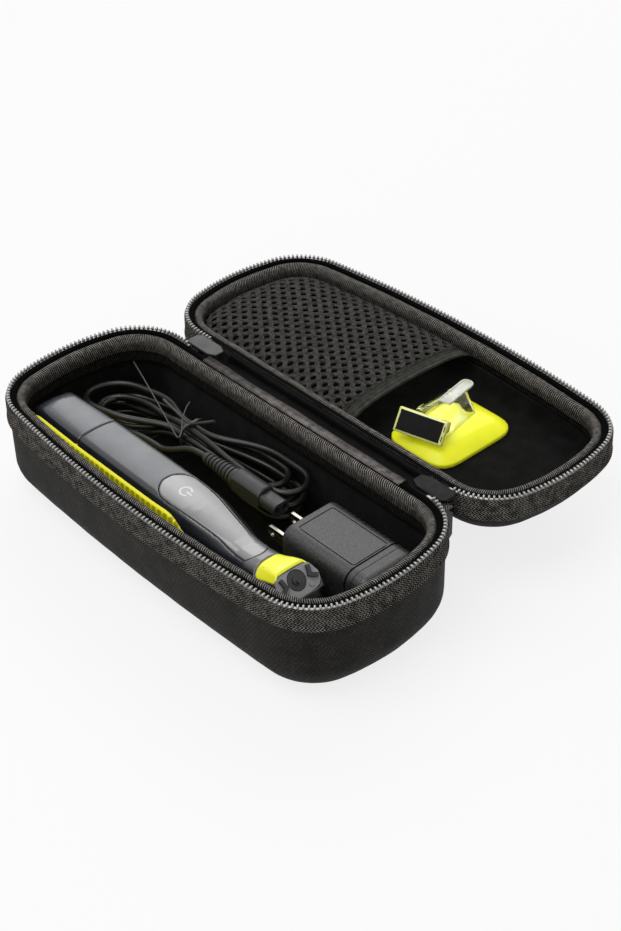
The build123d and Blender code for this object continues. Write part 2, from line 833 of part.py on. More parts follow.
def make_inside():
    """Cell, motor and circuit board, held in one chassis that rests in the grip."""
    cell_ends = (cell_x - cell_length / 2, cell_x + cell_length / 2)
    motor_ends = (motor_x - motor_length / 2, motor_x + motor_length / 2)
    cell = rod((cell_ends[0], 0, cell_z), (cell_ends[1], 0, cell_z), cell_radius)
    cell += rod((cell_ends[1] - 0.01, 0, cell_z), (cell_ends[1] + 1.0, 0, cell_z), cell_radius * 0.3)
    motor = rod((motor_ends[0], 0, motor_z), (motor_ends[1], 0, motor_z), motor_radius)
    motor += rod((motor_ends[1] - 0.01, 0, motor_z), (motor_ends[1] + shaft_length, 0, motor_z), shaft_radius)
    board = Pos(board_x, 0, board_z + board_thickness / 2) * Box(board_length, board_width, board_thickness)
    foot = board_z + board_thickness
    reach = switch_size / 2
    board += block((boss_x - reach, -reach, foot), (boss_x + reach, reach, foot + switch_height))
    rail_inner = cell_radius + 2 * chassis_gap
    inner = shaver_form(cavity_start + chassis_gap, cavity_end - chassis_gap, housing_wall + chassis_gap)
    deck_low = (board_x - board_length / 2, -20, board_z - chassis_gap - chassis_wall)
    deck_high = (board_x + board_length / 2, 20, board_z - chassis_gap)
    deck = inner & block(deck_low, deck_high)
    posts = [
        (cell_ends[0] + 3, cell_radius, cell_z),
        (cell_ends[1] - cradle_length - 3, cell_radius, cell_z),
        (motor_ends[0] + 3, motor_radius, motor_z),
        (motor_ends[1] - cradle_length - 3, motor_radius, motor_z),
    ]
    chassis = deck
    for start, radius, height in posts:
        cradle = inner & block((start, -20, -20), (start + cradle_length, 20, board_z - chassis_gap))
        bore = rod((start - 1, 0, height), (start + cradle_length + 1, 0, height), radius + chassis_gap)
        chassis += cradle - bore
    for side in (-1, 1):
        rail = sorted((side * rail_inner, side * (rail_inner + chassis_wall)))
        low = (cell_ends[0] + 3, rail[0], cell_z)
        high = (motor_ends[1] - 3, rail[1], board_z - chassis_gap)
        chassis += inner & block(low, high)
    for ends, height, radius in ((cell_ends, cell_z, cell_radius), (motor_ends, motor_z, motor_radius)):
        room = rod((ends[0] - 1, 0, height), (ends[1] + 1.5, 0, height), radius + chassis_gap)
        chassis = chassis - room
    save("battery_cell", place_shaver(cell))
    save("drive_motor", place_shaver(motor))
    save("circuit_board", place_shaver(board))
    save("inner_chassis", place_shaver(chassis))


# ---- charger ----
def charger_block(start, end, skin=0.0):
    """Length of the charger's housing with its long edges rounded, skin inside the outer face."""
    width = charger_width - 2 * skin
    height = charger_top - charger_bottom - 2 * skin
    face = fillet(Rectangle(width, height).vertices(), charger_edge - skin)
    middle = (charger_y, (charger_top + charger_bottom) / 2)
    plane = Plane(origin=(start, *middle), x_dir=(0, 1, 0), z_dir=(1, 0, 0))
    return extrude(plane * face, amount=end - start)


def prong(side):
    """Flat blade with a rounded tip and a hole, rooted in the housing."""
    y = prong_y + side * prong_spacing / 2
    tip = charger_left - prong_length
    low = (tip, y - prong_thickness / 2, prong_z - prong_height / 2)
    high = (charger_left + prong_root, y + prong_thickness / 2, prong_z + prong_height / 2)
    blade = block(low, high)
    corners = [e for e in blade.edges().filter_by(Axis.Y) if e.center().X < tip + 0.1]
    blade = fillet(corners, prong_height * 0.3)
    hole = rod((tip + 3.4, y - 2, prong_z), (tip + 3.4, y + 2, prong_z), prong_hole_radius)
    return blade - hole


def rib_grooves(seam):
    """Row of short grooves across the charger's rounded back edge, for grip."""
    back = charger_y + charger_width / 2
    crest = charger_edge * (1 - math.sqrt(0.5))
    middle = Vector(0, back - crest, charger_top - crest)
    reach = charger_edge * 0.7
    grooves = []
    for index in range(grip_rib_count):
        spot = middle + Vector(seam - grip_rib_pitch * (index + 1), 0, 0)
        start = spot + Vector(0, -reach, reach)
        end = spot + Vector(0, reach, -reach)
        grooves.append(rod(start, end, grip_rib_depth))
    return group(grooves)


def make_charger():
    right = charger_left + charger_length
    seam = right - charger_cap
    case = charger_block(charger_left, seam)
    rim = case.edges().filter_by_position(Axis.X, charger_left - 0.01, charger_left + 0.01)
    case = fillet(rim, charger_end_edge)
    label = Rectangle(seam - charger_left - 2 * label_margin, charger_width - 2 * charger_edge)
    label = fillet(label.vertices(), charger_end_edge)
    label_x = (charger_left + seam) / 2
    frame = Pos(label_x, charger_y, charger_top - label_depth) * (label - offset(label, -label_line))
    case = case - extrude(frame, amount=2 * label_depth)
    case = case - charger_block(seam - cap_tongue - cap_gap, seam + 1, cap_wall)
    case = case - rib_grooves(seam)
    cap = charger_block(seam + cap_gap, right)
    far = cap.edges().filter_by_position(Axis.X, right - 0.01, right + 0.01)
    cap = fillet(far, cap_end_edge)
    cap = cap + charger_block(seam - cap_tongue, seam + cap_gap + 0.01, cap_wall + cap_gap / 2)
    relief_start = (right - 3, relief_y, relief_z)
    cap = cap - rod(relief_start, (right + 1, relief_y, relief_z), relief_tip_radius + cap_gap)
    slots = [prong(side) for side in (-1, 1)]
    for side in (-1, 1):
        y = prong_y + side * prong_spacing / 2
        low = (charger_left - 1, y - prong_thickness / 2, prong_z - prong_height / 2)
        high = (charger_left + prong_root, y + prong_thickness / 2, prong_z + prong_height / 2)
        case = case - block(low, high)
    flange_end = (right + relief_flange, relief_y, relief_z)
    relief = rod(relief_start, flange_end, relief_tip_radius)
    relief += rod((right + glue_line, relief_y, relief_z), flange_end, relief_flange_radius)
    cone = Solid.make_cone(relief_base_radius, relief_tip_radius, relief_length - relief_flange)
    relief += Pos(right + relief_flange, relief_y, relief_z) * Rot(0, 90, 0) * cone
    save("charger_case", case)
    save("charger_end_cap", cap)
    save("charger_prongs", group(slots))
    save("cord_relief", relief)


# ---- cord ----
def route_radii(points):
    """Bend radius for each inner point of a route: as large as its two runs allow."""
    runs = [(Vector(*b) - Vector(*a)) for a, b in zip(points, points[1:])]
    room = [run.length * run_share for run in runs]
    room[0] *= 2
    room[-1] *= 2
    radii = []
    for index, (into, out) in enumerate(zip(runs, runs[1:])):
        half_turn = math.radians(into.get_angle(out)) / 2
        radii.append(min(room[index], room[index + 1]) / math.tan(half_turn))
    return radii


def make_cord(name, points):
    """Round cord along straight runs joined by tangent arcs."""
    radii = route_radii(points)
    path = FilletPolyline(*points, radius=radii)
    start = Plane(origin=points[0], z_dir=Vector(*points[1]) - Vector(*points[0]))
    cord = sweep(start * Circle(cord_radius), path=path)
    share = cord.volume / (math.pi * cord_radius**2 * path.length)
    print(name, "length", round(path.length, 1), "volume share", round(share, 4))
    print(name, "radii", [round(radius, 1) for radius in radii])
    save(name, cord)


charger_lead = [
    (charger_left + charger_length + relief_length, relief_y, relief_z),
    (102.9, relief_y, relief_z),
    (105.4, -48.5, 20.4),
    (105.2, -55.0, 21.8),
    (100.0, -61.2, 23.2),
    (91.5, -63.4, 24.2),
    (83.0, -60.6, 23.2),
    (74.5, -59.2, 18.0),
    (64.0, -59.0, 12.0),
    (49.0, -59.2, 8.6),
    (38.0, -55.0, 8.4),
    (28.0, -54.0, 8.4),
]
connector_lead = [
    (-52.0, -47.5, 24.0),
    (-46.5, -47.5, 24.0),
    (-40.5, -46.2, 26.0),
    (-34.5, -42.6, 28.4),
    (-28.5, connector_y, connector_z),
    (boot_start, connector_y, connector_z),
]


def lobe(points, low, high):
    """Upright solid over a rounded plan."""
    face = make_face(Spline(*points, periodic=True))
    return extrude(Pos(0, 0, low) * face, amount=high - low)


def waist_plane(x):
    """Plane across the waist of the folded cord, at its middle."""
    return Plane(origin=(x, waist_y, waist_z), x_dir=(0, 1, 0), z_dir=(1, 0, 0))


def waist_section(grow):
    """Section of the bundle where it is tied."""
    plan = Rectangle(waist_width + 2 * grow, waist_height + 2 * grow)
    return fillet(plan.vertices(), waist_round + grow)


def make_hank():
    """Outer shape of the folded cord: two lobes, a waist at the tie and the turns under the shaver."""
    low = inner_skin + hank_gap
    left = [(-105, -47), (-103, -33), (-88, -22), (-62, -19.5), (-50, -25), (-50, -38), (-70, -50)]
    left += [(-92, -55)]
    right = [(-38, -25), (-24, -15.5), (-4, -13.2), (18, -14), (29, -22), (27, -32), (10, -35.2)]
    right += [(-14, -35), (-34, -33.5)]
    left_lobe = lobe(left, low, 31.0)
    right_lobe = lobe(right, low, 30.0)
    stub = block((-62, -50.5, 20.0), (-52, -36, 28.0))
    waist = extrude(waist_plane(waist_start) * waist_section(0.0), amount=waist_length)
    under = fillet(Rectangle(104, 38).vertices(), 12)
    under = extrude(Pos(-42, -65, low) * under, amount=13.5 - low)
    side = fillet(Rectangle(60, 26).vertices(), 6)
    side = extrude(Pos(-2, -47.5, low) * side, amount=connector_z - connector_radius - hank_gap - low)
    side = side & block((-60, -57.5, 0), (60, 0, 60))
    patch = block((10, -57.5, low), (28, -40, 13.5))
    hank = left_lobe + right_lobe + stub + waist + under + side + patch
    room = place_base(tub(base_height, base_foot_radius, inner_skin + hank_gap, -band_clear))
    return hank & room


def make_connector():
    """Appliance plug: ringed boot, round body with flat cheeks and a two-pin tip."""
    along = Plane(origin=(boot_start, connector_y, connector_z), z_dir=(1, 0, 0))
    boot = Solid.make_cone(boot_small_radius, boot_large_radius, boot_length)
    pitch = boot_length / (boot_ring_count + 1)
    for index in range(boot_ring_count):
        at = (index + 1) * pitch
        radius = boot_small_radius + (boot_large_radius - boot_small_radius) * at / boot_length
        cutter = Pos(0, 0, at) * (Cylinder(radius + 1, pitch * 0.4) - Cylinder(radius - boot_groove, pitch))
        boot = boot - cutter
    body = Cylinder(connector_radius, connector_body_length, align=(Align.CENTER, Align.CENTER, Align.MIN))
    rim = body.edges().filter_by(GeomType.CIRCLE)
    body = fillet(rim, 1.2)
    flats = Box(40, 2 * connector_flat, 2 * connector_body_length)
    body = Pos(0, 0, boot_length + glue_line) * (body & flats)
    tip_plan = fillet(Rectangle(tip_height, tip_width).vertices(), tip_height * 0.4)
    tip_start = boot_length + connector_body_length + 2 * glue_line
    tip = Pos(0, 0, tip_start) * extrude(tip_plan, amount=tip_length)
    for side in (-1, 1):
        barrel = Cylinder(barrel_radius, 2 * barrel_depth)
        tip = tip - Pos(0, side * barrel_spacing / 2, tip_start + tip_length) * barrel
    save("connector_boot", along * boot)
    save("connector_body", along * body)
    save("connector_tip", along * tip)


def make_tie():
    """Twist tie: a wire round the waist of the hank, and its two loose ends."""
    plane = waist_plane(tie_x - tie_radius)
    loop_face = plane * (waist_section(tie_gap + 2 * tie_radius) - waist_section(tie_gap))
    loop = extrude(loop_face, amount=2 * tie_radius)
    knot = (tie_x, waist_y - 1.5, waist_z + waist_height / 2 + 2 * tie_gap + tie_radius)
    for side in (-1, 1):
        turn = math.radians(tie_tail_spread)
        reach = tie_tail_length * math.cos(turn)
        end = (tie_x + side * reach, knot[1] + side * 3, knot[2] + tie_tail_length * math.sin(turn))
        loop += rod(knot, end, tie_radius)
    return loop


# ---- lid pocket ----
def pocket_dome(drop):
    """Shallow dome over the lid: its edge under the roll, its middle raised by what the pocket holds."""
    faces = []
    for step, rise in pocket_steps:
        faces.append(Pos(0, 0, rise - drop) * outline(pocket_inset + step))
    return loft(faces, ruled=True)


def make_pocket():
    sheet = pocket_dome(pocket_drop) - pocket_dome(pocket_drop + mesh_thickness)
    left = block((-200, -200, -60), (pocket_edge_x - hem_width, 200, 60))
    mesh = sheet & left
    hem_sheet = pocket_dome(pocket_drop - hem_extra) - pocket_dome(pocket_drop + mesh_thickness + hem_extra)
    edge = block((pocket_edge_x - hem_width + glue_line, -200, -60), (pocket_edge_x, 200, 60))
    inner = extrude(Pos(0, 0, -60) * outline(roll_inner + hem_extra), amount=120)
    save("pocket_mesh", place_lid(mesh))
    save("pocket_hem", place_lid(hem_sheet & edge & inner))


# ---- spare blade ----
def cap(grow):
    """Low rounded cap for the blade, standing open side down; grow is negative for its inside."""
    low = lid_floor + seat_gap
    faces = []
    for share, rise in ((0.0, 0.0), (0.06, 0.45), (0.3, 0.8), (1.0, 1.0)):
        inset = share * tray_shoulder - grow
        plan = Rectangle(tray_length - 2 * inset, tray_width - 2 * inset)
        plan = fillet(plan.vertices(), tray_corner - inset)
        faces.append(Pos(tray_x, tray_y, low + rise * (tray_height + grow)) * plan)
    return loft(faces, ruled=True)


def make_spare_blade():
    """Spare blade: a cassette with its ribbed cutter, lying with its clear cover on a rounded cap."""
    top = lid_floor + seat_gap + tray_height + seat_gap
    place = Pos(cassette_x, cassette_y, top) * Rot(0, 0, cassette_turn)
    upright = (Align.CENTER, Align.CENTER, Align.MIN)
    frame = Box(cassette_length, cassette_depth, cassette_height, align=upright)
    frame = fillet(frame.edges().filter_by(Axis.Z), cassette_bar)
    bay_size = (cassette_length - 2 * cassette_bar, cassette_depth - 2 * cassette_bar)
    frame = frame - Pos(0, 0, cassette_height - cutter_height) * Box(*bay_size, cassette_height, align=upright)
    cutter_low = cassette_height - cutter_height + glue_line
    cutter_size = [size - 2 * glue_line for size in bay_size]
    cutter = Pos(0, 0, cutter_low) * Box(*cutter_size, cutter_height - glue_line, align=upright)
    pitch = cutter_size[0] / (cutter_rib_count + 1)
    slots = []
    for index in range(cutter_rib_count):
        x = (index + 1) * pitch - cutter_size[0] / 2
        slots.append(Pos(x, 0, cassette_height) * Box(pitch * 0.45, cutter_size[1] - 2, 2 * cutter_rib_depth))
    cutter = cutter - group(slots)
    plan = fillet(Rectangle(cover_length, cover_depth).vertices(), cover_corner)
    inside = offset(plan, -cover_wall)
    cover = extrude(plan, amount=cover_height) - extrude(inside, amount=cover_height - cover_wall)
    tongue = fillet(Rectangle(tongue_width, tongue_reach).vertices(), tongue_width * 0.45)
    tongue_y = cover_depth / 2 + tongue_reach / 2 - tongue_width * 0.6
    cover += Pos(tongue_x, tongue_y, cover_height - cover_wall) * extrude(tongue, amount=cover_wall)
    save("blade_tray", cap(0.0) - cap(-tray_wall) - Pos(0, 0, -tray_wall) * cap(-tray_wall))
    save("blade_cassette", place * frame)
    save("blade_cutter", place * cutter)
    save("blade_cover", Pos(cover_x, cover_y, top) * Rot(0, 0, cassette_turn) * cover)


for half, place, depth, foot, band_height, phase in (
    ("base", place_base, base_height, base_foot_radius, base_band_height, 0.0),
    ("lid", place_lid, lid_depth, lid_foot_radius, lid_band_height, 0.5),
):
    save(f"{half}_shell", place(make_shell(depth, foot)))
    save(f"{half}_lining", place(make_lining(depth, foot, band_height)))
    save(f"{half}_binding", place(make_binding(depth, foot, band_height)))
    tape = place(make_tape())
    if half == "base":
        tape = tape + tape_tongue(slider_left_x) + tape_tongue(slider_right_x)
    save(f"{half}_zip_tape", tape)
    save(f"{half}_zip_teeth", place(make_teeth(phase)))

save("hinge_gusset", gusset())
save("slider_left", slider(slider_left_x, 1))
save("slider_right", slider(slider_right_x, -1))
save("pull_tab_left", pull_tab(slider_left_x))
save("pull_tab_right", pull_tab(slider_right_x))
make_shaver()
make_head()
save("blade_latches", place_shaver(group(make_latches())))
save("drive_rotor", place_shaver(make_rotor()))
make_inside()
make_charger()
make_cord("cord_charger_lead", charger_lead)
make_cord("cord_connector_lead", connector_lead)
save("cord_hank", make_hank())
make_connector()
save("twist_tie", make_tie())
make_pocket()
make_spare_blade()
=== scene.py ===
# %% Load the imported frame
import math
import bmesh
import bpy
import numpy as np
from mathutils import Matrix, Vector


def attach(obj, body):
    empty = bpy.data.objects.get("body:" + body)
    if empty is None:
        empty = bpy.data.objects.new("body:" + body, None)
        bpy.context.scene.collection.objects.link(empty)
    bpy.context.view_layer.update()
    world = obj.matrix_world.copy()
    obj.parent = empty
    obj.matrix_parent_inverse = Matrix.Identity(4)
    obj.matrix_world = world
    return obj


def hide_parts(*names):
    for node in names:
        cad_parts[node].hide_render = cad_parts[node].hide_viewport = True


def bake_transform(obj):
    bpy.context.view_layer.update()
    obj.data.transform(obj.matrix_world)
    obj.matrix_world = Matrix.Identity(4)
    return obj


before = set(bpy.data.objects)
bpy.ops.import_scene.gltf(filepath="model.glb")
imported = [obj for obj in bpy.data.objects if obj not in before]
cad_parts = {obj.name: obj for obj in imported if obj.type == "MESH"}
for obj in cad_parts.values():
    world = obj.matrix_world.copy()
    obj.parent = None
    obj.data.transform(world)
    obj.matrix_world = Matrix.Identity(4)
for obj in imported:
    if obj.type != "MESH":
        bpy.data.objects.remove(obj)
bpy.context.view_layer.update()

# %% [markdown]
# # A zipped hard case for an electric shaver, built on its CAD frame
# The case is two deep trays of moulded foam board, covered in ribbed cloth outside and velvet inside. A
# ribbed webbing is sewn over the rims, a zip runs round the outside, and a satin gusset is the hinge.
#
# Every measure below is written in millimetres, because that is how a case maker writes them, and one
# helper turns a finished array into metres at the moment it becomes a mesh.

# %% Units, and the case's own measures
MM = 0.001

RIM_HALF_LENGTH, HINGE_HALF_WIDTH, FRONT_HALF_WIDTH, FOOT_HALF_WIDTH = 113.1, 46.0, 50.8, 47.6
END_ARC_RADIUS, CORNER_RADIUS, BOW_CHORD = 103.0, 28.0, 166.0
HALF_SPACING, BASE_RIM, LID_RIM, LID_DEPTH = 52.5, 51.25, 48.25, 24.0
WALL, INNER_SKIN, SHELL_FLARE = 4.0, 5.1, 0.5
BASE = dict(body="base", depth=BASE_RIM, foot=17.0, band=6.0, rim_z=BASE_RIM)
LID = dict(body="lid", depth=LID_DEPTH, foot=14.0, band=4.0, rim_z=LID_RIM)
TAPE_LOW, ROLL_LOW, BAND_HIGH = -12.3, -9.95, -10.25
ZIP_LEFT, ZIP_RIGHT, SHAVER_LINE = -74.0, 86.0, -72.5

# %% [markdown]
# ## Meshes from whole arrays
# A surface here is a grid of points: rows run along one measure of the form and columns along the other.
# Blender could also grow these forms by extruding faces one at a time, but a grid is computed at once,
# keeps its rows in order for the cloth's weave, and can be made finer by changing one number.


# %% Helpers: grids, fans, tubes and objects
def closed(rows):
    """Rows whose first column comes again at the end."""
    return np.concatenate([rows, rows[:, :1]], axis=1)


def quads(table):
    """Four corners of each quad between neighbouring rows and columns of a table."""
    return np.stack([table[:-1, :-1], table[:-1, 1:], table[1:, 1:], table[1:, :-1]], axis=2)


def grid(points, uv, wrap=False):
    """Quads between neighbouring rows and columns; with wrap the last column joins the first, and uv has
    one column more than points, so that the weave runs on across the seam."""
    index = np.arange(points[..., 0].size).reshape(points.shape[:2])
    faces = quads(closed(index) if wrap else index)
    return points.reshape(-1, 3), faces.reshape(-1, 4), quads(uv).reshape(-1, 4, 2)


def ring_faces(points):
    """Quads between the rings of many like forms, whose points are one array: form, ring, point."""
    count, rings, sides = points.shape[:3]
    one = quads(closed(np.arange(rings * sides).reshape(rings, sides))).reshape(-1, 4)
    return (one + np.arange(count)[:, None, None] * rings * sides).reshape(-1, 4)


def fan(ring, centre=None):
    """Triangles from a closed ring of points to one centre point, which closes a pole or an end."""
    count = len(ring)
    index = np.arange(count)
    faces = np.stack([index, np.roll(index, -1), np.full(count, count)], axis=-1)
    points = np.vstack([ring, ring.mean(axis=0) if centre is None else centre])
    return points, faces, points[faces][..., :2]


def run_along(points):
    """Distance run to each point of a line of points."""
    return np.concatenate([[0], np.cumsum(np.linalg.norm(np.diff(points, axis=0), axis=1))])


def unit(vectors):
    return vectors / np.linalg.norm(vectors, axis=1, keepdims=True)


def tube(path, radius, sides):
    """Round bar along a path: at each point a circle in the plane square to the run, carried without
    twist from the upright direction."""
    run = unit(np.gradient(path, axis=0))
    one = unit(np.cross(run, (0.0, 0.0, 1.0)))
    two = np.cross(run, one)
    turn = np.linspace(0, 2 * np.pi, sides, endpoint=False)
    ring = np.cos(turn)[None, :, None] * one[:, None] + np.sin(turn)[None, :, None] * two[:, None]
    points = path[:, None] + radius * ring
    around = np.linspace(0, 2 * np.pi, sides + 1) * radius
    uv = np.stack(np.meshgrid(around, run_along(path)), axis=-1)
    return [grid(points, uv, wrap=True), fan(points[0], path[0]), fan(points[-1], path[-1])]


def in_scene(name, data):
    """New object for this data, put in the scene."""
    made = bpy.data.objects.new(name, data)
    bpy.context.scene.collection.objects.link(made)
    return made


def as_seen(piece):
    """New mesh of a piece as its modifiers or its curve make it."""
    bpy.context.view_layer.update()
    return bpy.data.meshes.new_from_object(piece.evaluated_get(bpy.context.evaluated_depsgraph_get()))


def read_points(mesh, key="co"):
    """One vector of every point of a mesh, as an array."""
    spots = np.empty(len(mesh.vertices) * 3, np.float32)
    mesh.vertices.foreach_get(key, spots)
    return spots.reshape(-1, 3)


def merge_points(mesh, reach, outward=False):
    """Merges points nearer than the reach, and may turn the faces of each closed part outward."""
    work = bmesh.new()
    work.from_mesh(mesh)
    bmesh.ops.remove_doubles(work, verts=work.verts, dist=reach)
    if outward:
        bmesh.ops.recalc_face_normals(work, faces=work.faces)
    work.to_mesh(mesh)
    work.free()


def shape(name, chunks):
    """One smooth mesh object from several (points, faces, uv) chunks in millimetres; doubled points are
    merged and the faces of each closed part turned outward."""
    points = np.vstack([chunk[0] for chunk in chunks]) * MM
    starts = np.cumsum([0] + [len(chunk[0]) for chunk in chunks[:-1]])
    loops = np.concatenate([(chunk[1] + start).ravel() for chunk, start in zip(chunks, starts)])
    sizes = np.concatenate([np.full(len(chunk[1]), chunk[1].shape[1]) for chunk in chunks])
    mesh = bpy.data.meshes.new(name)
    mesh.vertices.add(len(points))
    mesh.vertices.foreach_set("co", points.astype(np.float32).ravel())
    mesh.loops.add(len(loops))
    mesh.loops.foreach_set("vertex_index", loops.astype(np.int32))
    mesh.polygons.add(len(sizes))
    mesh.polygons.foreach_set("loop_start", (np.cumsum(sizes) - sizes).astype(np.int32))
    marks = np.concatenate([chunk[2].reshape(-1, 2) for chunk in chunks])
    mesh.uv_layers.new(name="weave").data.foreach_set("uv", marks.astype(np.float32).ravel())
    mesh.update(calc_edges=True)
    merge_points(mesh, 2e-6, outward=True)
    mesh.polygons.foreach_set("use_smooth", np.full(len(mesh.polygons), True))
    return in_scene(name, mesh)


def finish(piece, body, finish_material, nodes=()):
    """Give a piece its material, hide the carried pieces that it stands for, and let it ride on its body."""
    piece.data.materials.clear()
    piece.data.materials.append(finish_material)
    if nodes:
        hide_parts(*nodes)
    if body:
        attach(piece, body)
    faces = len(piece.data.polygons) if piece.type == "MESH" else 0
    print(f"{piece.name}: {faces} faces, rides on {body}")


# %% [markdown]
# ## Camera
# A product picture is taken with a long lens, a little above the table. The place is given as a bearing, a
# height and a distance from a spot on the table, and the lens as a focal length for a 36 mm tall film.

# %% Camera
FRAME_HEIGHT, FILM_HEIGHT = 931, 36.0
VIEW_BEARING, VIEW_HEIGHT, VIEW_ROLL = 48.58, 37.2815, -1.2827
VIEW_DISTANCE, FOCAL_PIXELS = 805.0, 1681.48
VIEW_TARGET = Vector((-13.6235, 14.79, 0.0)) * MM


def place_camera():
    """Camera on a sphere round its target, turned to face it, then rolled about its own axis."""
    bearing, height = math.radians(VIEW_BEARING), math.radians(VIEW_HEIGHT)
    level = math.cos(height)
    back = Vector((math.sin(bearing) * level, -math.cos(bearing) * level, math.sin(height)))
    data = bpy.data.cameras.new("camera")
    data.sensor_fit = "VERTICAL"
    data.sensor_height = FILM_HEIGHT
    data.lens = FOCAL_PIXELS / FRAME_HEIGHT * FILM_HEIGHT
    data.clip_start, data.clip_end = 0.05, 20.0
    camera = in_scene("camera", data)
    camera.rotation_mode = "QUATERNION"
    roll = Matrix.Rotation(math.radians(VIEW_ROLL), 3, "Z").to_quaternion()
    camera.rotation_quaternion = back.to_track_quat("Z", "Y") @ roll
    camera.location = VIEW_TARGET + back * VIEW_DISTANCE * MM
    bpy.context.scene.camera = camera
    print("camera at", [round(v, 4) for v in camera.location])


place_camera()

# %% [markdown]
# ## Finishes
# A finish is a small recipe of nodes: a pattern worked out from the cloth's own measure (the weave map, in
# millimetres along and across) or from the object's place, which then steers colour, roughness and relief.
# Image textures would be quicker, but a recipe stays sharp at any distance and needs no file.


# %% A recipe that grows a node tree
class Recipe:
    """A material whose nodes are added one at a time, from pattern to shader."""

    def __init__(self, name, colour, roughness, **sockets):
        self.material = bpy.data.materials.new(name)
        self.material.use_nodes = True
        self.tree = self.material.node_tree
        self.shader = self.tree.nodes["Principled BSDF"]
        self.fill(self.shader, {"Base Color": rgb(*colour), "Roughness": roughness})
        self.fill(self.shader, {key.replace("_", " "): value for key, value in sockets.items()})

    def fill(self, node, values):
        """Sets sockets by name or number: another socket is linked, a plain value is written."""
        for key, value in values.items():
            if isinstance(value, bpy.types.NodeSocket):
                self.tree.links.new(value, node.inputs[key])
            else:
                node.inputs[key].default_value = value

    def add(self, kind, values=None, **settings):
        node = self.tree.nodes.new("ShaderNode" + kind)
        for key, value in settings.items():
            setattr(node, key, value)
        self.fill(node, values or {})
        return node

    def maths(self, operation, *values):
        return self.add("Math", dict(enumerate(values)), operation=operation).outputs[0]

    def times(self, product, *values):
        """Product of all the values."""
        for value in values:
            product = self.maths("MULTIPLY", product, value)
        return product

    def line(self, value, slope, start):
        """Slope times the value, plus the start."""
        return self.maths("MULTIPLY_ADD", value, slope, start)

    def ramp(self, value, start, end, first, last):
        """Goes from first to last while the value goes from start to end."""
        return self.add("MapRange", {0: value, 1: start, 2: end, 3: first, 4: last}).outputs[0]

    def span(self, value, low, high):
        """Stretches noise's narrow middle range to run from low to high."""
        return self.ramp(value, 0.35, 0.65, low, high)

    def weave(self):
        """Distance along and across the cloth, in millimetres."""
        return self.add("SeparateXYZ", {0: self.add("UVMap", uv_map="weave").outputs[0]}).outputs[:2]

    def place(self):
        """Place in the object, in metres."""
        return self.add("TexCoord").outputs["Object"]

    def place_parts(self):
        return self.add("SeparateXYZ", {0: self.place()}).outputs

    def noise(self, size, detail=2.0):
        """Cloudy noise with blotches of about this size, in millimetres."""
        values = {"Vector": self.place(), "Scale": 1.0 / (size * MM), "Detail": detail}
        return self.add("TexNoise", values).outputs["Fac"]

    def wave(self, value, pitch):
        """Even ridges: half of one plus the sine of a full turn for each pitch."""
        return self.line(self.maths("SINE", self.times(value, 2 * math.pi / pitch)), 0.5, 0.5)

    def blend(self, share, first, second):
        """Colour from first to second as share goes from 0 to 1."""
        return self.add("Mix", {0: share, 6: first, 7: second}, data_type="RGBA").outputs[2]

    def colour(self, share, deep, tip):
        """Base colour from deep to tip as share goes from 0 to 1."""
        self.fill(self.shader, {"Base Color": self.blend(share, rgb(*deep), rgb(*tip))})

    def roughen(self, pattern, low, high):
        """Roughness from low to high over the middle range of a pattern."""
        self.fill(self.shader, {"Roughness": self.span(pattern, low, high)})

    def relief(self, height, depth, strength=1.0):
        """Bump of a real depth in millimetres, on top of any bump made before."""
        values = {"Height": height, "Distance": depth * MM, "Strength": strength}
        linked = self.shader.inputs["Normal"].links
        if linked:
            values["Normal"] = linked[0].from_socket
        self.fill(self.shader, {"Normal": self.add("Bump", values).outputs[0]})

    def raised(self, *layers):
        """The finished material, with a bump for each height and depth."""
        for height, depth in layers:
            self.relief(height, depth)
        return self.material


def rgb(red, green, blue):
    return (red, green, blue, 1.0)


def shaded(colour, factor):
    return tuple(factor * part for part in colour)


# %% [markdown]
# Cloths first. Each is the same idea at another scale: threads as even ridges, their tops paler and drier
# than the gaps between, and a slow cloud over the whole so that no two places match.


# %% Cloths
def make_webbing():
    """Ribbed webbing: leaning ridges about 1 mm apart, each broken into short bright loops of thread. Across
    the roll's section the ledge beside the teeth is bare tape, the bead is full, and the second tier and the
    band below it are darkened by painted shade."""
    made = Recipe("webbing", (0.03, 0.028, 0.026), 0.85, Specular_IOR_Level=0.03)
    along, across = made.weave()
    ridge = made.wave(made.line(made.noise(6.0), 0.7, made.line(across, 0.3, along)), 1.12)
    loop = made.wave(made.line(along, 0.5, across), 0.9)
    crest = made.times(made.maths("POWER", ridge, 1.6), made.line(loop, 0.35, 0.65))
    ledge = made.ramp(across, 3.1, 4.0, 0.01, 1.0)
    # Painted shade: the second tier's colour falls to 0.42 of the bead's, and the band below the roll to 0.25.
    tier = made.ramp(across, 10.4, 11.4, 1.0, 0.42)
    band = made.ramp(across, 36.0, 38.0, 1.0, 0.25)
    share = made.times(crest, ledge, tier, band, made.span(made.noise(2.2, 4.0), 0.45, 1.0))
    made.colour(share, (0.0, 0.0, 0.0), (0.46, 0.435, 0.395))
    return made.raised((ridge, 0.4), (loop, 0.1))


def make_knit():
    """Zip tape: a warp knit whose wales zigzag, drawn as ridges that follow a folded second measure."""
    made = Recipe("zip_knit", (0.04, 0.038, 0.036), 0.85, Specular_IOR_Level=0.04)
    along, across = made.weave()
    ridge = made.wave(made.line(made.maths("PINGPONG", across, 1.15), 1.5, along), 1.45)
    share = made.times(made.maths("POWER", ridge, 2.4), made.span(made.noise(3.0, 4.0), 0.3, 1.0))
    made.colour(share, (0.0, 0.0, 0.0), (0.30, 0.28, 0.25))
    return made.raised((ridge, 0.3), (made.wave(across, 2.3), 0.25))


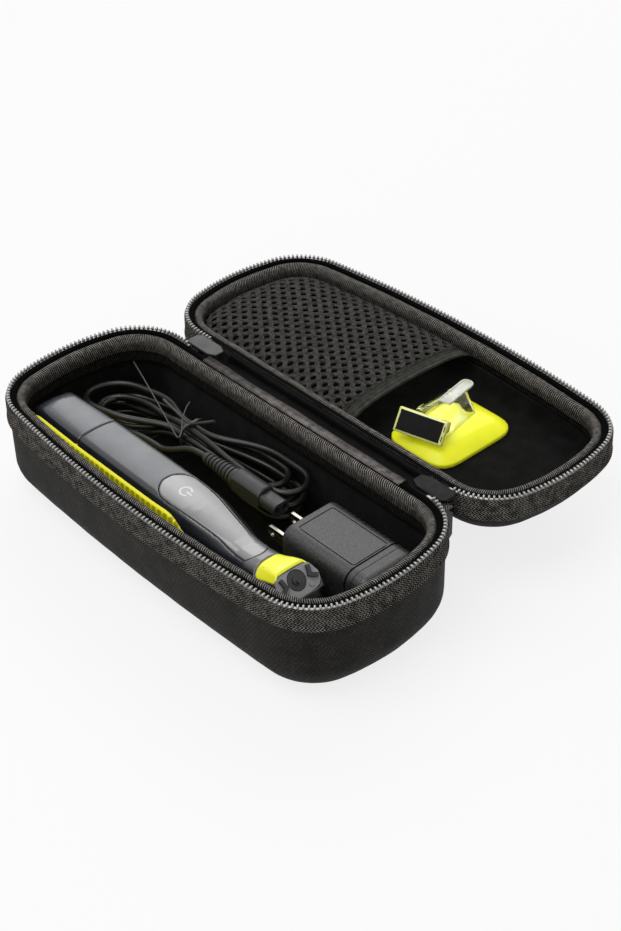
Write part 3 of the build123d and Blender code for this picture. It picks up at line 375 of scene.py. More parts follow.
def make_shell_cloth():
    """Coated woven cloth: a diagonal of fine threads over a slower cross rib."""
    made = Recipe("shell_cloth", (0.02, 0.019, 0.018), 0.7, Specular_IOR_Level=0.12, Sheen_Weight=0.02)
    along, across = made.weave()
    rising = made.wave(made.maths("ADD", along, across), 1.3)
    falling = made.wave(made.maths("SUBTRACT", along, made.times(across, 0.6)), 1.9)
    thread = made.times(rising, made.line(falling, 0.45, 0.55))
    fleck = made.span(made.noise(0.9), 0.15, 1.0)
    share = made.times(thread, made.span(made.noise(9.0, 5.0), 0.3, 1.0), fleck)
    made.colour(share, (0.0022, 0.0020, 0.0018), (0.060, 0.053, 0.046))
    made.fill(made.shader, {"Roughness": made.line(thread, -0.15, 0.75)})
    return made.raised((thread, 0.22), (fleck, 0.06))


def make_velvet():
    """Short pile: the light catches only leaning fibres, so it is almost black with a soft edge glow."""
    made = Recipe("velvet", (0.002, 0.002, 0.0019), 0.95, Specular_IOR_Level=0.05, Sheen_Weight=0.05)
    pile = made.noise(0.35, 3.0)
    share = made.times(made.span(pile, 0.0, 1.0), made.span(made.noise(7.0, 4.0), 0.2, 1.0))
    made.colour(share, (0.0008, 0.0008, 0.0008), (0.009, 0.0085, 0.008))
    made.relief(pile, 0.25, 0.8)
    return made.material


def make_satin():
    """Gusset cloth: fine weft floats across the hinge, painted paler where the cloth puckers as a painted sheen.
    Only the fold beside the base carries painted light; the strip below it is painted shade, near black, and the
    fold's light fades toward the left slider."""
    made = Recipe("gusset_satin", (0.05, 0.045, 0.046), 0.5, Specular_IOR_Level=0.06)
    along, across = made.weave()
    pucker = made.noise(3.0, 3.0)
    rib = made.wave(made.line(pucker, 0.8, along), 0.95)
    # Painted light on the fold beside the base, painted shade below it and toward the left slider, and a painted
    # sheen from the pucker noise.
    fold = made.ramp(across, 2.4, 5.6, 1.0, 0.0)
    lit = made.ramp(along, -62.0, -5.0, 0.30, 1.0)
    share = made.times(fold, lit, made.line(rib, 0.6, 0.4), made.span(pucker, 0.4, 1.0))
    made.colour(share, (0.0012, 0.0011, 0.0011), (0.25, 0.226, 0.218))
    return made.raised((rib, 0.14), (made.wave(across, 0.5), 0.03), (pucker, 0.4))


def make_net_yarn():
    """Pocket net: a round knitted yarn, with its loops as small ridges."""
    made = Recipe("net_yarn", (0.03, 0.029, 0.027), 0.65, Specular_IOR_Level=0.08, Sheen_Weight=0.03)
    along, across = made.weave()
    loop = made.wave(made.maths("ADD", along, made.wave(across, 0.9)), 0.7)
    share = made.times(made.maths("POWER", loop, 1.6), made.span(made.noise(2.0, 3.0), 0.25, 1.0))
    made.colour(share, (0.0010, 0.0010, 0.0010), (0.165, 0.157, 0.145))
    return made.raised((loop, 0.22))


def make_hem_webbing():
    """Pocket hem: flat elastic webbing, with cords along it and a fine weft across."""
    made = Recipe("hem_webbing", (0.04, 0.039, 0.036), 0.7, Specular_IOR_Level=0.08, Sheen_Weight=0.02)
    along, across = made.weave()
    cords = made.wave(across, 1.25)
    share = made.times(made.line(cords, 0.7, 0.3), made.span(made.noise(3.0, 3.0), 0.4, 1.0))
    made.colour(share, (0.002, 0.002, 0.0018), (0.060, 0.060, 0.050))
    return made.raised((cords, 0.3), (made.wave(along, 0.8), 0.1))


webbing, zip_knit, shell_cloth = make_webbing(), make_knit(), make_shell_cloth()
velvet, gusset_satin, net_yarn, hem_webbing = make_velvet(), make_satin(), make_net_yarn(), make_hem_webbing()
print("cloths:", ", ".join(m.name for m in bpy.data.materials))

# %% [markdown]
# Then the hard finishes. Moulded plastic is never one tone: gloss housings carry faint flow and dust,
# matt ones a spark-eroded grain, and metal a direction left by its last tool.


# %% Plastics, rubber and metal
def make_gloss(name, colour, roughness, **sockets):
    """Polished moulding: its roughness drifts a little and a soft ripple breaks long reflections."""
    made = Recipe(name, colour, roughness, **sockets)
    made.colour(made.span(made.noise(20.0), 0.0, 1.0), shaded(colour, 0.86), colour)
    made.roughen(made.noise(14.0, 4.0), roughness * 0.8, roughness * 1.3)
    return made.raised((made.noise(6.0), 0.02))


def make_matt(name, colour, roughness, grain_size, depth, **sockets):
    """Spark-eroded moulding: fine even grain, paler where the grain is high."""
    made = Recipe(name, colour, roughness, **sockets)
    grain = made.noise(grain_size)
    made.colour(made.span(grain, 0.0, 1.0), shaded(colour, 0.65), colour)
    made.roughen(made.noise(5.0, 3.0), roughness * 0.85, roughness * 1.1)
    return made.raised((grain, depth))


def make_brushed(name, colour, roughness, long_scale=60.0, pitch=0.25):
    """Metal ground in one direction: noise stretched along X, so that its scratches run that way."""
    made = Recipe(name, colour, roughness, Metallic=1.0)
    fine_scale = 1.0 / (pitch * MM)
    stretch = made.add("Mapping", {"Vector": made.place(), "Scale": (long_scale, fine_scale, fine_scale)})
    scratch = made.add("TexNoise", {"Vector": stretch.outputs[0], "Scale": 1.0, "Detail": 3.0}).outputs["Fac"]
    made.roughen(scratch, roughness * 0.7, roughness * 1.4)
    return made.raised((scratch, 0.01))


def make_moulded(name, colour, roughness, neck=None):
    """Polished moulding of the shaver, with a painted reflection along its middle line and painted shade toward
    its sides, and the faint unevenness that shows in its reflections. The switch's grey runs on over the handle's
    neck, from the panel's end to the collar."""
    made = Recipe(name, colour, roughness, Coat_Weight=0.4, Coat_Roughness=0.08)
    made.relief(made.noise(9.0), 0.02)
    x, y, _ = made.place_parts()
    # Painted reflection and shade: 1.25 times the colour along the middle line, falling to 0.3 times toward the
    # sides.
    side = made.maths("ABSOLUTE", made.maths("SUBTRACT", y, SHAVER_LINE * MM))
    shade = made.ramp(side, 2.5 * MM, 11.0 * MM, 0.0, 1.0)
    body = made.blend(shade, rgb(*shaded(colour, 1.25)), rgb(*shaded(colour, 0.3)))
    if neck:
        ahead = made.ramp(x, 50.0 * MM, 51.5 * MM, 0.0, 1.0)
        inner = made.ramp(side, 5.5 * MM, 8.5 * MM, 1.0, 0.0)
        body = made.blend(made.times(ahead, inner), body, rgb(*neck))
    made.fill(made.shader, {"Base Color": body})
    made.roughen(made.noise(14.0, 4.0), roughness * 0.85, roughness * 1.2)
    return made.material


def make_clear():
    """Clear styrene with the faint haze of handling."""
    made = Recipe("clear_plastic", (0.97, 0.98, 0.98), 0.03, Transmission_Weight=1.0, IOR=1.22)
    made.roughen(made.noise(5.0, 3.0), 0.01, 0.08)
    return made.raised((made.noise(4.0), 0.02))


def glow_lime(material):
    """Lime pigment is fluorescent; here each lime finish is given a faint even glow of its own, a painted light in
    yellow-green.
    """
    shader = material.node_tree.nodes["Principled BSDF"]
    shader.inputs["Emission Color"].default_value = rgb(0.80, 0.84, 0.02)
    shader.inputs["Emission Strength"].default_value = 0.14


DIMPLE_START, DIMPLE_PITCH, DIMPLE_HEIGHT, DIMPLE_POWER = -90.0, 3.7, 36.3, 3.0


def make_lime_rubber():
    """Grip: matt rubber with one long row of rounded hollows, 3.7 mm apart, painted darker inside as painted
    shade. The nearest hollow's middle is found by rounding the place along the row."""
    made = Recipe("lime_rubber", (0.85, 0.82, 0.02), 0.5, Specular_IOR_Level=0.3)
    x, _, z = made.place_parts()
    pitches = made.maths("DIVIDE", made.maths("SUBTRACT", x, DIMPLE_START * MM), DIMPLE_PITCH * MM)
    along = made.times(made.maths("SUBTRACT", pitches, made.maths("ROUND", pitches)), DIMPLE_PITCH)
    up = made.times(made.maths("SUBTRACT", z, DIMPLE_HEIGHT * MM), 0.9 / MM)
    powers = [made.maths("POWER", made.maths("ABSOLUTE", part), DIMPLE_POWER) for part in (along, up)]
    inside = made.ramp(made.maths("ADD", *powers), 1.3, 3.0, 1.0, 0.0)
    # Painted shade: each hollow is darker inside; the same mask sinks its bump.
    made.colour(inside, (0.72, 0.66, 0.02), (0.20, 0.17, 0.003))
    return made.raised((inside, -0.3), (made.noise(0.5), 0.02))


GROOVE_PLACE, GROOVE_HALF, CHARGER_SHINE = 86.35, 0.5, 0.45


def make_charger():
    """Charger: spark-eroded black plastic, with a fine grain of lighter tips and a painted shade line in the
    groove at the cap.
    """
    made = Recipe("charger_black", (0.020, 0.020, 0.021), 0.4, Specular_IOR_Level=CHARGER_SHINE)
    grain = made.noise(0.55)
    away = made.maths("ABSOLUTE", made.maths("SUBTRACT", made.place_parts()[0], GROOVE_PLACE * MM))
    # Painted shade in the cap's groove: near black and without specular for half a millimetre either side.
    line = made.ramp(away, GROOVE_HALF * 0.7 * MM, GROOVE_HALF * MM, 0.0, 1.0)
    made.colour(made.times(made.span(grain, 0.0, 1.0), line), (0.001, 0.001, 0.001), (0.046, 0.046, 0.046))
    made.fill(made.shader, {"Specular IOR Level": made.times(line, CHARGER_SHINE)})
    return made.raised((grain, 0.03))


lime_gloss = make_gloss("lime_gloss", (0.90, 0.90, 0.04), 0.28, Coat_Weight=0.2)
lime_clear = make_gloss("lime_clear", (0.92, 0.93, 0.02), 0.3, Specular_IOR_Level=0.2, Coat_Weight=0.12)
lime_pale = make_gloss("lime_pale", (0.90, 0.92, 0.30), 0.2, Transmission_Weight=0.15, Coat_Weight=0.3)
lime_rubber = make_lime_rubber()
# Painted light: a faint glow of their own on the lime finishes.
for lime in (lime_gloss, lime_clear, lime_rubber):
    glow_lime(lime)
handle_gloss = make_moulded("handle_gloss", (0.020, 0.023, 0.032), 0.26, neck=(0.15, 0.15, 0.155))
panel_gloss = make_moulded("panel_gloss", (0.22, 0.22, 0.222), 0.28)
plate_grey = make_matt("plate_grey", (0.30, 0.30, 0.31), 0.36, 0.4, 0.015, Coat_Weight=0.2)
black_matt = make_matt("black_matt", (0.022, 0.022, 0.023), 0.45, 0.3, 0.03)
charger_black = make_charger()
connector_black = make_matt("connector_black", (0.018, 0.018, 0.018), 0.5, 0.4, 0.03)
tooth_gloss = make_gloss("tooth_gloss", (0.27, 0.27, 0.26), 0.2, Metallic=0.6, Coat_Weight=0.6, Coat_Roughness=0.1)
slider_coat = make_matt("slider_coat", (0.012, 0.012, 0.0115), 0.4, 0.4, 0.01, Specular_IOR_Level=0.35)
# Darker copy of the slider's finish for the right slider: painted shade.
slider_shade = make_matt("slider_shade", (0.006, 0.006, 0.0055), 0.6, 0.4, 0.01, Specular_IOR_Level=0.12)
cord_skin = make_matt("cord_skin", (0.0085, 0.0085, 0.0075), 0.34, 0.6, 0.02, Specular_IOR_Level=0.35)
tie_skin = make_matt("tie_skin", (0.03, 0.03, 0.03), 0.4, 0.3, 0.03)
bright_steel = make_brushed("bright_steel", (0.62, 0.62, 0.60), 0.28)
cutter_black = make_gloss("cutter_black", (0.004, 0.004, 0.004), 0.45, Specular_IOR_Level=0.12)
prong_nickel = make_brushed("prong_nickel", (0.42, 0.40, 0.36), 0.25)
cell_sleeve = make_gloss("cell_sleeve", (0.05, 0.16, 0.30), 0.35)
board_green = make_matt("board_green", (0.02, 0.14, 0.05), 0.4, 0.8, 0.03)
print_white = make_matt("print_white", (0.75, 0.75, 0.74), 0.6, 0.2, 0.005)
clear_plastic = make_clear()
milky_plastic = make_gloss("milky_plastic", (0.88, 0.90, 0.82), 0.25, Transmission_Weight=0.45, Coat_Weight=0.3)
print("finishes:", len(bpy.data.materials))

# %% [markdown]
# ## Stage and light
# Dark cloth and dark gloss plastic need opposite things: cloth wants broad even light, gloss wants one
# bright shape to reflect. A white world gives the first and a large soft lamp behind the case the second.


# %% Floor, world and lamps
def seen_share(add, link):
    """One for rays from the eye, from gloss or through glass; zero for the light that falls on things."""
    rays = add("ShaderNodeLightPath")
    first, both = add("ShaderNodeMath"), add("ShaderNodeMath")
    first.operation = both.operation = "MAXIMUM"
    link(rays.outputs["Is Camera Ray"], first.inputs[0])
    link(rays.outputs["Is Transmission Ray"], first.inputs[1])
    link(first.outputs[0], both.inputs[0])
    link(rays.outputs["Is Glossy Ray"], both.inputs[1])
    return both.outputs[0]


def make_floor():
    """Plain pale floor. To the eye it is mostly a white of its own, over which the shadow still shows."""
    size = 3.0
    mesh = bpy.data.meshes.new("floor")
    mesh.from_pydata([(-size, -size, 0), (size, -size, 0), (size, size, 0), (-size, size, 0)], [], [(0, 1, 2, 3)])
    floor = in_scene("floor", mesh)
    made = Recipe("floor_paper", (0.72, 0.72, 0.72), 0.9)
    paper = made.add("Emission", {"Color": rgb(1.0, 1.0, 1.0), "Strength": 1.0})
    share = made.times(seen_share(made.tree.nodes.new, made.tree.links.new), 0.80)
    both = made.add("MixShader", {0: share, 1: made.shader.outputs[0], 2: paper.outputs[0]})
    made.fill(made.tree.nodes["Material Output"], {"Surface": both.outputs[0]})
    floor.data.materials.append(made.material)


def make_world(light_level):
    """A plain white backdrop for the eye, for gloss and through glass, and a softer one as a light."""
    world = bpy.data.worlds.new("studio")
    bpy.context.scene.world = world
    world.use_nodes = True
    tree = world.node_tree
    level = tree.nodes.new("ShaderNodeMapRange")
    level.inputs["To Min"].default_value = light_level
    level.inputs["To Max"].default_value = 1.0
    tree.links.new(seen_share(tree.nodes.new, tree.links.new), level.inputs["Value"])
    backdrop = tree.nodes["Background"]
    tree.links.new(level.outputs[0], backdrop.inputs["Strength"])
    backdrop.inputs["Color"].default_value = rgb(1.0, 1.0, 1.0)


def make_lamp(name, place, aim, size, watts):
    """Square soft lamp at a place in millimetres, turned to face a spot."""
    data = bpy.data.lights.new(name, "AREA")
    data.shape = "RECTANGLE"
    data.size, data.size_y = size[0] * MM, size[1] * MM
    data.energy = watts
    lamp = in_scene(name, data)
    lamp.location = Vector(place) * MM
    lamp.rotation_mode = "QUATERNION"
    lamp.rotation_quaternion = (Vector(aim) - Vector(place)).to_track_quat("-Z", "Y")


make_floor()
make_world(0.40)
make_lamp("back_softbox", (-700, 900, 1050), (0, 0, 20), (1500, 900), 10.0)
make_lamp("front_fill", (600, -1000, 800), (0, 0, 20), (1200, 1200), 4.5)
make_lamp("high_key", (-150, -450, 1250), (0, 0, 0), (900, 900), 9.0)
bpy.context.scene.view_settings.view_transform = "Standard"
print("stage: floor, world and", len(bpy.data.lights), "lamps")

# %% [markdown]
# ## The charger's cord
# The charger's cord is 3.3 mm thick and a little over 1.6 m long. It leaves the charger's
# strain relief, dives under the shaver, is folded into a hank of long turns tied in the middle, and ends in
# the appliance plug. It is one smooth line: the leads' points are listed, and the turns are worked
# out by a loop, each one a long racetrack with its own width, reach and height, pinched where the tie is.

# %% Cord: leads and turns
CORD_DIAMETER = 0.0033
CHARGER_LEAD = [
    (0.1009, -0.0460, 0.0200), (0.1020, -0.0460, 0.0200), (0.1036, -0.0465, 0.0201), (0.1050, -0.0477, 0.0203),
    (0.1059, -0.0494, 0.0206), (0.1062, -0.0514, 0.0210), (0.1057, -0.0541, 0.0216), (0.1038, -0.0577, 0.0223),
    (0.1004, -0.0607, 0.0232), (0.0960, -0.0626, 0.0238), (0.0905, -0.0632, 0.0240), (0.0830, -0.0620, 0.0226),
    (0.0745, -0.0600, 0.0180), (0.0640, -0.0590, 0.0124), (0.0490, -0.0592, 0.0090), (0.0380, -0.0562, 0.0084),
    (0.0280, -0.0544, 0.0084),
]
UNDER_SHAVER = [
    (0.0120, -0.0555, 0.0084), (-0.0080, -0.0610, 0.0084), (-0.0300, -0.0660, 0.0084), (-0.0540, -0.0670, 0.0084),
    (-0.0740, -0.0640, 0.0086), (-0.0870, -0.0560, 0.0092), (-0.0920, -0.0460, 0.0105), (-0.0880, -0.0365, 0.0125),
    (-0.0780, -0.0305, 0.0155), (-0.0670, -0.0285, 0.0190), (-0.0580, -0.0290, 0.0220),
]
HANK_TAIL = [
    (-0.0620, -0.0325, 0.0268), (-0.0740, -0.0315, 0.0268), (-0.0860, -0.0330, 0.0260), (-0.0940, -0.0375, 0.0252),
    (-0.0965, -0.0445, 0.0246), (-0.0920, -0.0505, 0.0242), (-0.0830, -0.0525, 0.0240), (-0.0730, -0.0510, 0.0240),
    (-0.0625, -0.0485, 0.0240),
]
CONNECTOR_LEAD = [
    (-0.0520, -0.0475, 0.0240), (-0.0465, -0.0475, 0.0240), (-0.0405, -0.0462, 0.0260), (-0.0345, -0.0426, 0.0284),
    (-0.0285, -0.0405, 0.0290), (-0.0220, -0.0405, 0.0290),
]
TIE_X, TIE_Y, TIE_Z = -44.0, -31.0, 26.5
LANE_STEP, ROW_STEP, WAIST_HALF = 2.9, 2.9, 8.0
# each lobe: height, share of the full reach, share of the full width, sideways shift
RIGHT_LOBES = [
    (11.5, 0.92, 0.92, -0.6), (15.6, 0.84, 0.98, 0.4), (19.8, 0.97, 0.90, -0.9), (24.0, 0.78, 0.88, 0.5),
    (28.2, 1.0, 1.0, 0.0),
]
LEFT_LOBES = [(14.0, 0.93, 0.88, 0.8), (19.0, 0.98, 0.78, -0.6), (24.4, 0.85, 0.92, 0.6), (29.2, 1.0, 1.0, 0.0)]
RIGHT_SHAPE = dict(way=1, reach=60.5, half=9.8, line=-24.4, lean=0.0)
LEFT_SHAPE = dict(way=-1, reach=50.0, half=12.6, line=-30.0, lean=0.25)
LANES = [(1, -1), (2, -1), (1, 0), (2, 0), (1, 1)]


def lane_point(number, side, x):
    """Point in the tied waist: lanes lie side by side from the middle outward, rows above each other."""
    place, row = LANES[number]
    return np.array([x, TIE_Y + side * (place - 0.5) * LANE_STEP, TIE_Z + row * ROW_STEP])


def lobe(form, height, reach_share, width_share, shift, enter, leave):
    """Loop beyond the tie: a run that spreads from its lane by a smooth step, a half circle at the far end,
    and a run back that closes in on the next lane."""
    half, reach = form["half"] * width_share, form["reach"] * reach_share
    side = np.sign(enter[1] - leave[1])
    turn = np.linspace(0, np.pi, 9)
    out = np.linspace(0.16, 0.84, 4) * (reach - half)
    far = np.concatenate([out, reach - half + half * np.sin(turn), out[::-1]])
    sway = side * half * np.concatenate([np.ones(4), np.cos(turn), -np.ones(4)])
    share = np.clip(far / (0.6 * (reach - half)), 0.0, 1.0)
    share = share**2 * (3 - 2 * share)
    near = np.where((np.arange(len(far)) < len(far) / 2)[:, None], enter, leave)
    x = TIE_X + form["way"] * (WAIST_HALF + far)
    line = form["line"] + shift + form["lean"] * (x - TIE_X) * (form["way"] < 0)
    y = near[:, 1] + share * (line + sway - near[:, 1])
    z = near[:, 2] + share * (height - near[:, 2])
    return np.stack([x, y, z], axis=-1)


def waist_pass(number, side, way):
    """Three points straight through the tie on one lane."""
    return np.array([lane_point(number, side, TIE_X + way * step) for step in (-WAIST_HALF, 0.0, WAIST_HALF)])


def fold_hank():
    """Every turn in order: through the tie on a back lane, round the right lobe, back through on a front
    lane, and round the left lobe; the last front lane leads to the tail."""
    runs = []
    for number, right in enumerate(RIGHT_LOBES):
        runs.append(waist_pass(number, 1, 1))
        enter, leave = runs[-1][-1], lane_point(number, -1, TIE_X + WAIST_HALF)
        runs.append(lobe(RIGHT_SHAPE, *right, enter, leave))
        runs.append(waist_pass(number, -1, -1))
        if number < len(LEFT_LOBES):
            enter, leave = runs[-1][-1], lane_point(number + 1, 1, TIE_X - WAIST_HALF)
            runs.append(lobe(LEFT_SHAPE, *LEFT_LOBES[number], enter, leave))
    return np.vstack(runs) * MM


cord_points = np.vstack([CHARGER_LEAD, UNDER_SHAVER, fold_hank(), HANK_TAIL, CONNECTOR_LEAD])
print("cord route points:", len(cord_points))

# %% [markdown]
# Blender's own curve carries the cord: a NURBS spline of order 3 runs smoothly inside the corners of its
# route, and its bevel makes the round skin. Its length is read back from the curve and stated.


# %% Cord: one curve
def make_curve(name, points, radius):
    """Open NURBS spline with these control points and a round bevel."""
    data = bpy.data.curves.new(name, "CURVE")
    data.dimensions = "3D"
    data.resolution_u = 4
    data.bevel_depth = radius
    data.bevel_resolution = 5
    data.use_fill_caps = True
    spline = data.splines.new("NURBS")
    spline.points.add(len(points) - 1)
    weighted = np.column_stack([points, np.ones(len(points))])
    spline.points.foreach_set("co", weighted.astype(np.float32).ravel())
    spline.order_u = 3
    spline.use_endpoint_u = True
    return in_scene(name, data)


def spline_line(piece):
    """Points along a curve's centre, as Blender works them out when the curve has no bevel."""
    depth, piece.data.bevel_depth = piece.data.bevel_depth, 0.0
    mesh = as_seen(piece)
    line = read_points(mesh).astype(float)
    bpy.data.meshes.remove(mesh)
    piece.data.bevel_depth = depth
    return line


cord = make_curve("charger_cord", cord_points, CORD_DIAMETER / 2)
cord_length = float(run_along(spline_line(cord))[-1])
finish(cord, "base", cord_skin, ("cord_charger_lead", "cord_hank", "cord_connector_lead"))
print("cord length", round(cord_length, 3), "m")

# %% [markdown]
# ## The plan of a half
# Seen from above, a half is bounded by two arcs at the ends, a bowed front, a straight hinge side and four
# round corners. Each of these is a circle or a line, so every point is exact, and a plan drawn further in is
# the same centres with smaller radii. The same point number always lies on the same stretch, so plans of
# different sizes can be joined row to row.

# %% Plan of a half, as arcs about fixed centres
RIM_COUNTS = (112, 60, 240, 60, 112, 56, 240, 56)
WEAVE_LENGTH = 583.0


def rim_centres(front=FRONT_HALF_WIDTH):
    """Centres of the end arc, the bowed front and the two corners on one side, and the front's radius. A
    corner's centre is where the two neighbouring arcs, each drawn in by the corner's radius, cross."""
    bow = front - HINGE_HALF_WIDTH
    bow_radius = ((BOW_CHORD / 2) ** 2 + bow**2) / (2 * bow)
    end_x, front_y = RIM_HALF_LENGTH - END_ARC_RADIUS, bow_radius - front
    inner, far = END_ARC_RADIUS - CORNER_RADIUS, bow_radius - CORNER_RADIUS
    back_y = HINGE_HALF_WIDTH - CORNER_RADIUS
    back_x = end_x + math.sqrt(inner**2 - back_y**2)
    apart = math.hypot(end_x, front_y)
    along = (inner**2 - far**2 + apart**2) / (2 * apart)
    across = math.sqrt(inner**2 - along**2)
    corner_x = end_x + (across * front_y - along * end_x) / apart
    corner_y = (along * front_y + across * end_x) / apart
    return end_x, front_y, bow_radius, (back_x, back_y), (corner_x, corner_y)


def plan(front=FRONT_HALF_WIDTH):
    """Points of the rim, the outward direction at each, and the cloth's run to each, once round."""
    end_x, front_y, bow_radius, (back_x, back_y), (corner_x, corner_y) = rim_centres(front)
    low, high = math.atan2(corner_y, corner_x - end_x), math.atan2(back_y, back_x - end_x)
    turn, half, full = math.atan2(corner_y - front_y, corner_x), math.pi / 2, math.pi
    arcs = [
        ((end_x, 0.0), END_ARC_RADIUS, low, high),
        ((back_x, back_y), CORNER_RADIUS, high, half),
        ((0.0, HINGE_HALF_WIDTH), back_x, half, half),
        ((-back_x, back_y), CORNER_RADIUS, half, full - high),
        ((-end_x, 0.0), END_ARC_RADIUS, full - high, full - low),
        ((-corner_x, corner_y), CORNER_RADIUS, full - low, full - turn),
        ((0.0, front_y), bow_radius, full - turn, 2 * full + turn),
        ((corner_x, corner_y), CORNER_RADIUS, turn, low),
    ]
    spots, outward = [], []
    for (centre, radius, first, last), count in zip(arcs, RIM_COUNTS):
        share = np.linspace(0, 1, count, endpoint=False)
        angle = first + (last - first) * share
        normal = np.stack([np.cos(angle), np.sin(angle)], axis=-1)
        straight = np.stack([radius * (1 - 2 * share), np.full(count, centre[1])], axis=-1)
        spots.append(straight if first == last else np.array(centre) + radius * normal)
        outward.append(normal)
    spots, outward = np.vstack(spots), np.vstack(outward)
    run = run_along(np.vstack([spots, spots[:1]]))
    return spots, outward, run * WEAVE_LENGTH / run[-1]


RIM_SPOTS, RIM_OUTWARD, RIM_RUN = plan()
print("rim points:", len(RIM_SPOTS), "round", RIM_RUN[-1], "mm of cloth")

# %% [markdown]
# A binding, a tape or a wall is a section carried round that plan. The section is a list of places, each an
# inset from the rim and a height below it, and the carried form is one array: rows are places of the
# section, columns are points of the plan.


# %% Sections carried round the rim
def put(points, half):
    """Place points drawn about a half's own middle, rim at zero and bowed front towards -Y, in the frame."""
    x, y, z = points[..., 0], points[..., 1], points[..., 2]
    return np.stack([x, HALF_SPACING - y if half is LID else y - HALF_SPACING, z + half["rim_z"]], axis=-1)


def soften(corners, radii, steps=5):
    """Closed polygon with each corner rounded: a quadratic curve that starts and ends its radius away."""
    corners = np.array(corners, float)
    before = unit(np.roll(corners, 1, axis=0) - corners)
    after = unit(np.roll(corners, -1, axis=0) - corners)
    share = np.linspace(0, 1, steps)[None, :, None]
    reach = np.array(radii, float)[:, None]
    start, end = (corners + before * reach)[:, None], (corners + after * reach)[:, None]
    curve = (1 - share) ** 2 * start + 2 * share * (1 - share) * corners[:, None] + share**2 * end
    return curve.reshape(-1, 2)


def carry(section, half, fronts=None, drift=0.0):
    """Carry a section (rows of inset and height) round the rim. A row may have its own front width. Drift
    pushes the cloth in and out by slow sines of the run, so that it isn't machined."""
    section = np.asarray(section, float)
    run = RIM_RUN[:-1] * 2 * np.pi / WEAVE_LENGTH
    wander = drift * (0.6 * np.sin(17 * run + section[:, 1:2]) + 0.4 * np.sin(43 * run + 2 * section[:, :1]))
    fronts = np.full(len(section), FRONT_HALF_WIDTH) if fronts is None else fronts
    fronts = [round(float(front), 3) for front in fronts]
    plans = {front: plan(front) for front in set(fronts)}
    spots, outward = (np.stack([plans[front][part] for front in fronts]) for part in (0, 1))
    flat = spots - (section[:, 0, None] + wander)[..., None] * outward
    height = np.broadcast_to(section[:, 1, None], flat.shape[:2])
    return put(np.concatenate([flat, height[..., None]], axis=-1), half)


def section_run(section):
    """Distance run round a closed section, one more value than it has rows."""
    return run_along(np.vstack([section, section[:1]]))


def loop_band(section, half, drift=0.0):
    """Closed section carried all the way round: a ring with no ends."""
    points = carry(section, half, drift=drift)
    uv = np.stack(np.meshgrid(RIM_RUN, section_run(section)), axis=-1)
    return grid(np.concatenate([points, points[:1]]), uv, wrap=True)


def zip_columns():
    """Plan points that carry the zip, in order from one end of the hinge's gap round to the other."""
    x, y = RIM_SPOTS[:, 0], RIM_SPOTS[:, 1]
    bare = (y > HINGE_HALF_WIDTH - 0.01) & (x > ZIP_LEFT) & (x < ZIP_RIGHT)
    first = int(np.flatnonzero(bare)[-1]) + 1
    order = np.roll(np.arange(len(x)), -first)
    return order[~bare[order]]


def zip_band(section, half):
    """Closed section carried along the zip only, with both ends closed."""
    columns = zip_columns()
    points = carry(section, half)[:, columns]
    run = np.unwrap(RIM_RUN[columns], period=WEAVE_LENGTH)
    uv = np.stack(np.meshgrid(run, section_run(section)), axis=-1)
    return [grid(np.concatenate([points, points[:1]]), uv), fan(points[:, 0]), fan(points[:, -1])]


# %% [markdown]
# ## Moulded shells and linings
# Each tray is pressed from foam board with cloth on both sides. The wall stands straight below the zip,
# turns through a quarter circle at the foot, and closes in a flat floor. The front is bowed at the rim and
# straighter at the foot, so every row of the foot has its own plan.


# %% Shells and linings
def wall_section(half, skin, top, steps=14):
    """Rows from the top down to the foot: straight, then a quarter turn about the foot's centre. Returns
    inset and height rows, and the front width at each."""
    depth, radius = half["depth"], half["foot"] - skin
    turn = np.linspace(0, np.pi / 2, steps)
    foot_z = skin - depth + radius * (1 - np.sin(turn))
    foot_inset = skin - SHELL_FLARE + (radius + SHELL_FLARE) * (1 - np.cos(turn))
    straight_z = np.linspace(top, foot_z[0], 6)[:-1] if top > foot_z[0] else np.array([])
    keep = foot_z < top
    z = np.concatenate([straight_z, foot_z[keep]])
    inset = np.concatenate([np.full(len(straight_z), skin - SHELL_FLARE), foot_inset[keep]])
    start = min(-TAPE_LOW, depth - half["foot"])
    share = np.clip((-z - start) / (depth - start), 0, 1)
    return np.stack([inset, z], axis=-1), FRONT_HALF_WIDTH + share * (FOOT_HALF_WIDTH - FRONT_HALF_WIDTH)


def floor_rows(last_row, count=10):
    """Rows that shrink the last one towards its middle, evenly, to close a floor without a hole."""
    middle = last_row.mean(axis=0)
    share = np.linspace(1, 0, count + 1)[1:-1, None, None]
    return middle + (last_row - middle) * share, middle


def tray(half, outer_skin, inner_skin, top, drift):
    """Closed tray between two skins: outer floor, outer wall, rim, inner wall, inner floor."""
    rows = []
    for skin in (outer_skin, inner_skin):
        section, fronts = wall_section(half, skin, top)
        wall = carry(section, half, fronts, drift)
        floor, middle = floor_rows(wall[-1])
        rows.append((np.concatenate([wall, floor]), middle))
    outer, inner = rows
    points = np.concatenate([outer[0][::-1], inner[0]])
    uv = np.stack(np.meshgrid(RIM_RUN, run_along(points[:, 0])), axis=-1)
    return [grid(points, uv, wrap=True), fan(points[0], outer[1]), fan(points[-1], inner[1])]


SHELL_TOP = -3.2
for half in (BASE, LID):
    name = half["body"]
    shell = shape(f"{name}_shell_cloth", tray(half, 0.0, WALL, SHELL_TOP, 0.08))
    finish(shell, name, shell_cloth, [f"{name}_shell"])
    lining_top = BAND_HIGH - half["band"] - 0.3
    lining = shape(f"{name}_lining_velvet", tray(half, WALL + 0.1, INNER_SKIN, lining_top, 0.12))
    finish(lining, name, velvet, [f"{name}_lining"])

# %% [markdown]
# ## Rim binding
# The raw rim is covered by a ribbed webbing that rolls over it and is sewn down inside; below it a flat band
# of the same webbing hides the lining's edge. Both are closed sections with soft corners. The roll has a
# dark ledge beside the teeth, a round bead, and a flatter second tier. The ribs are in the finish, because
# at 1 mm each they are threads, not form; it knows the parts of the section by the distance run across it.

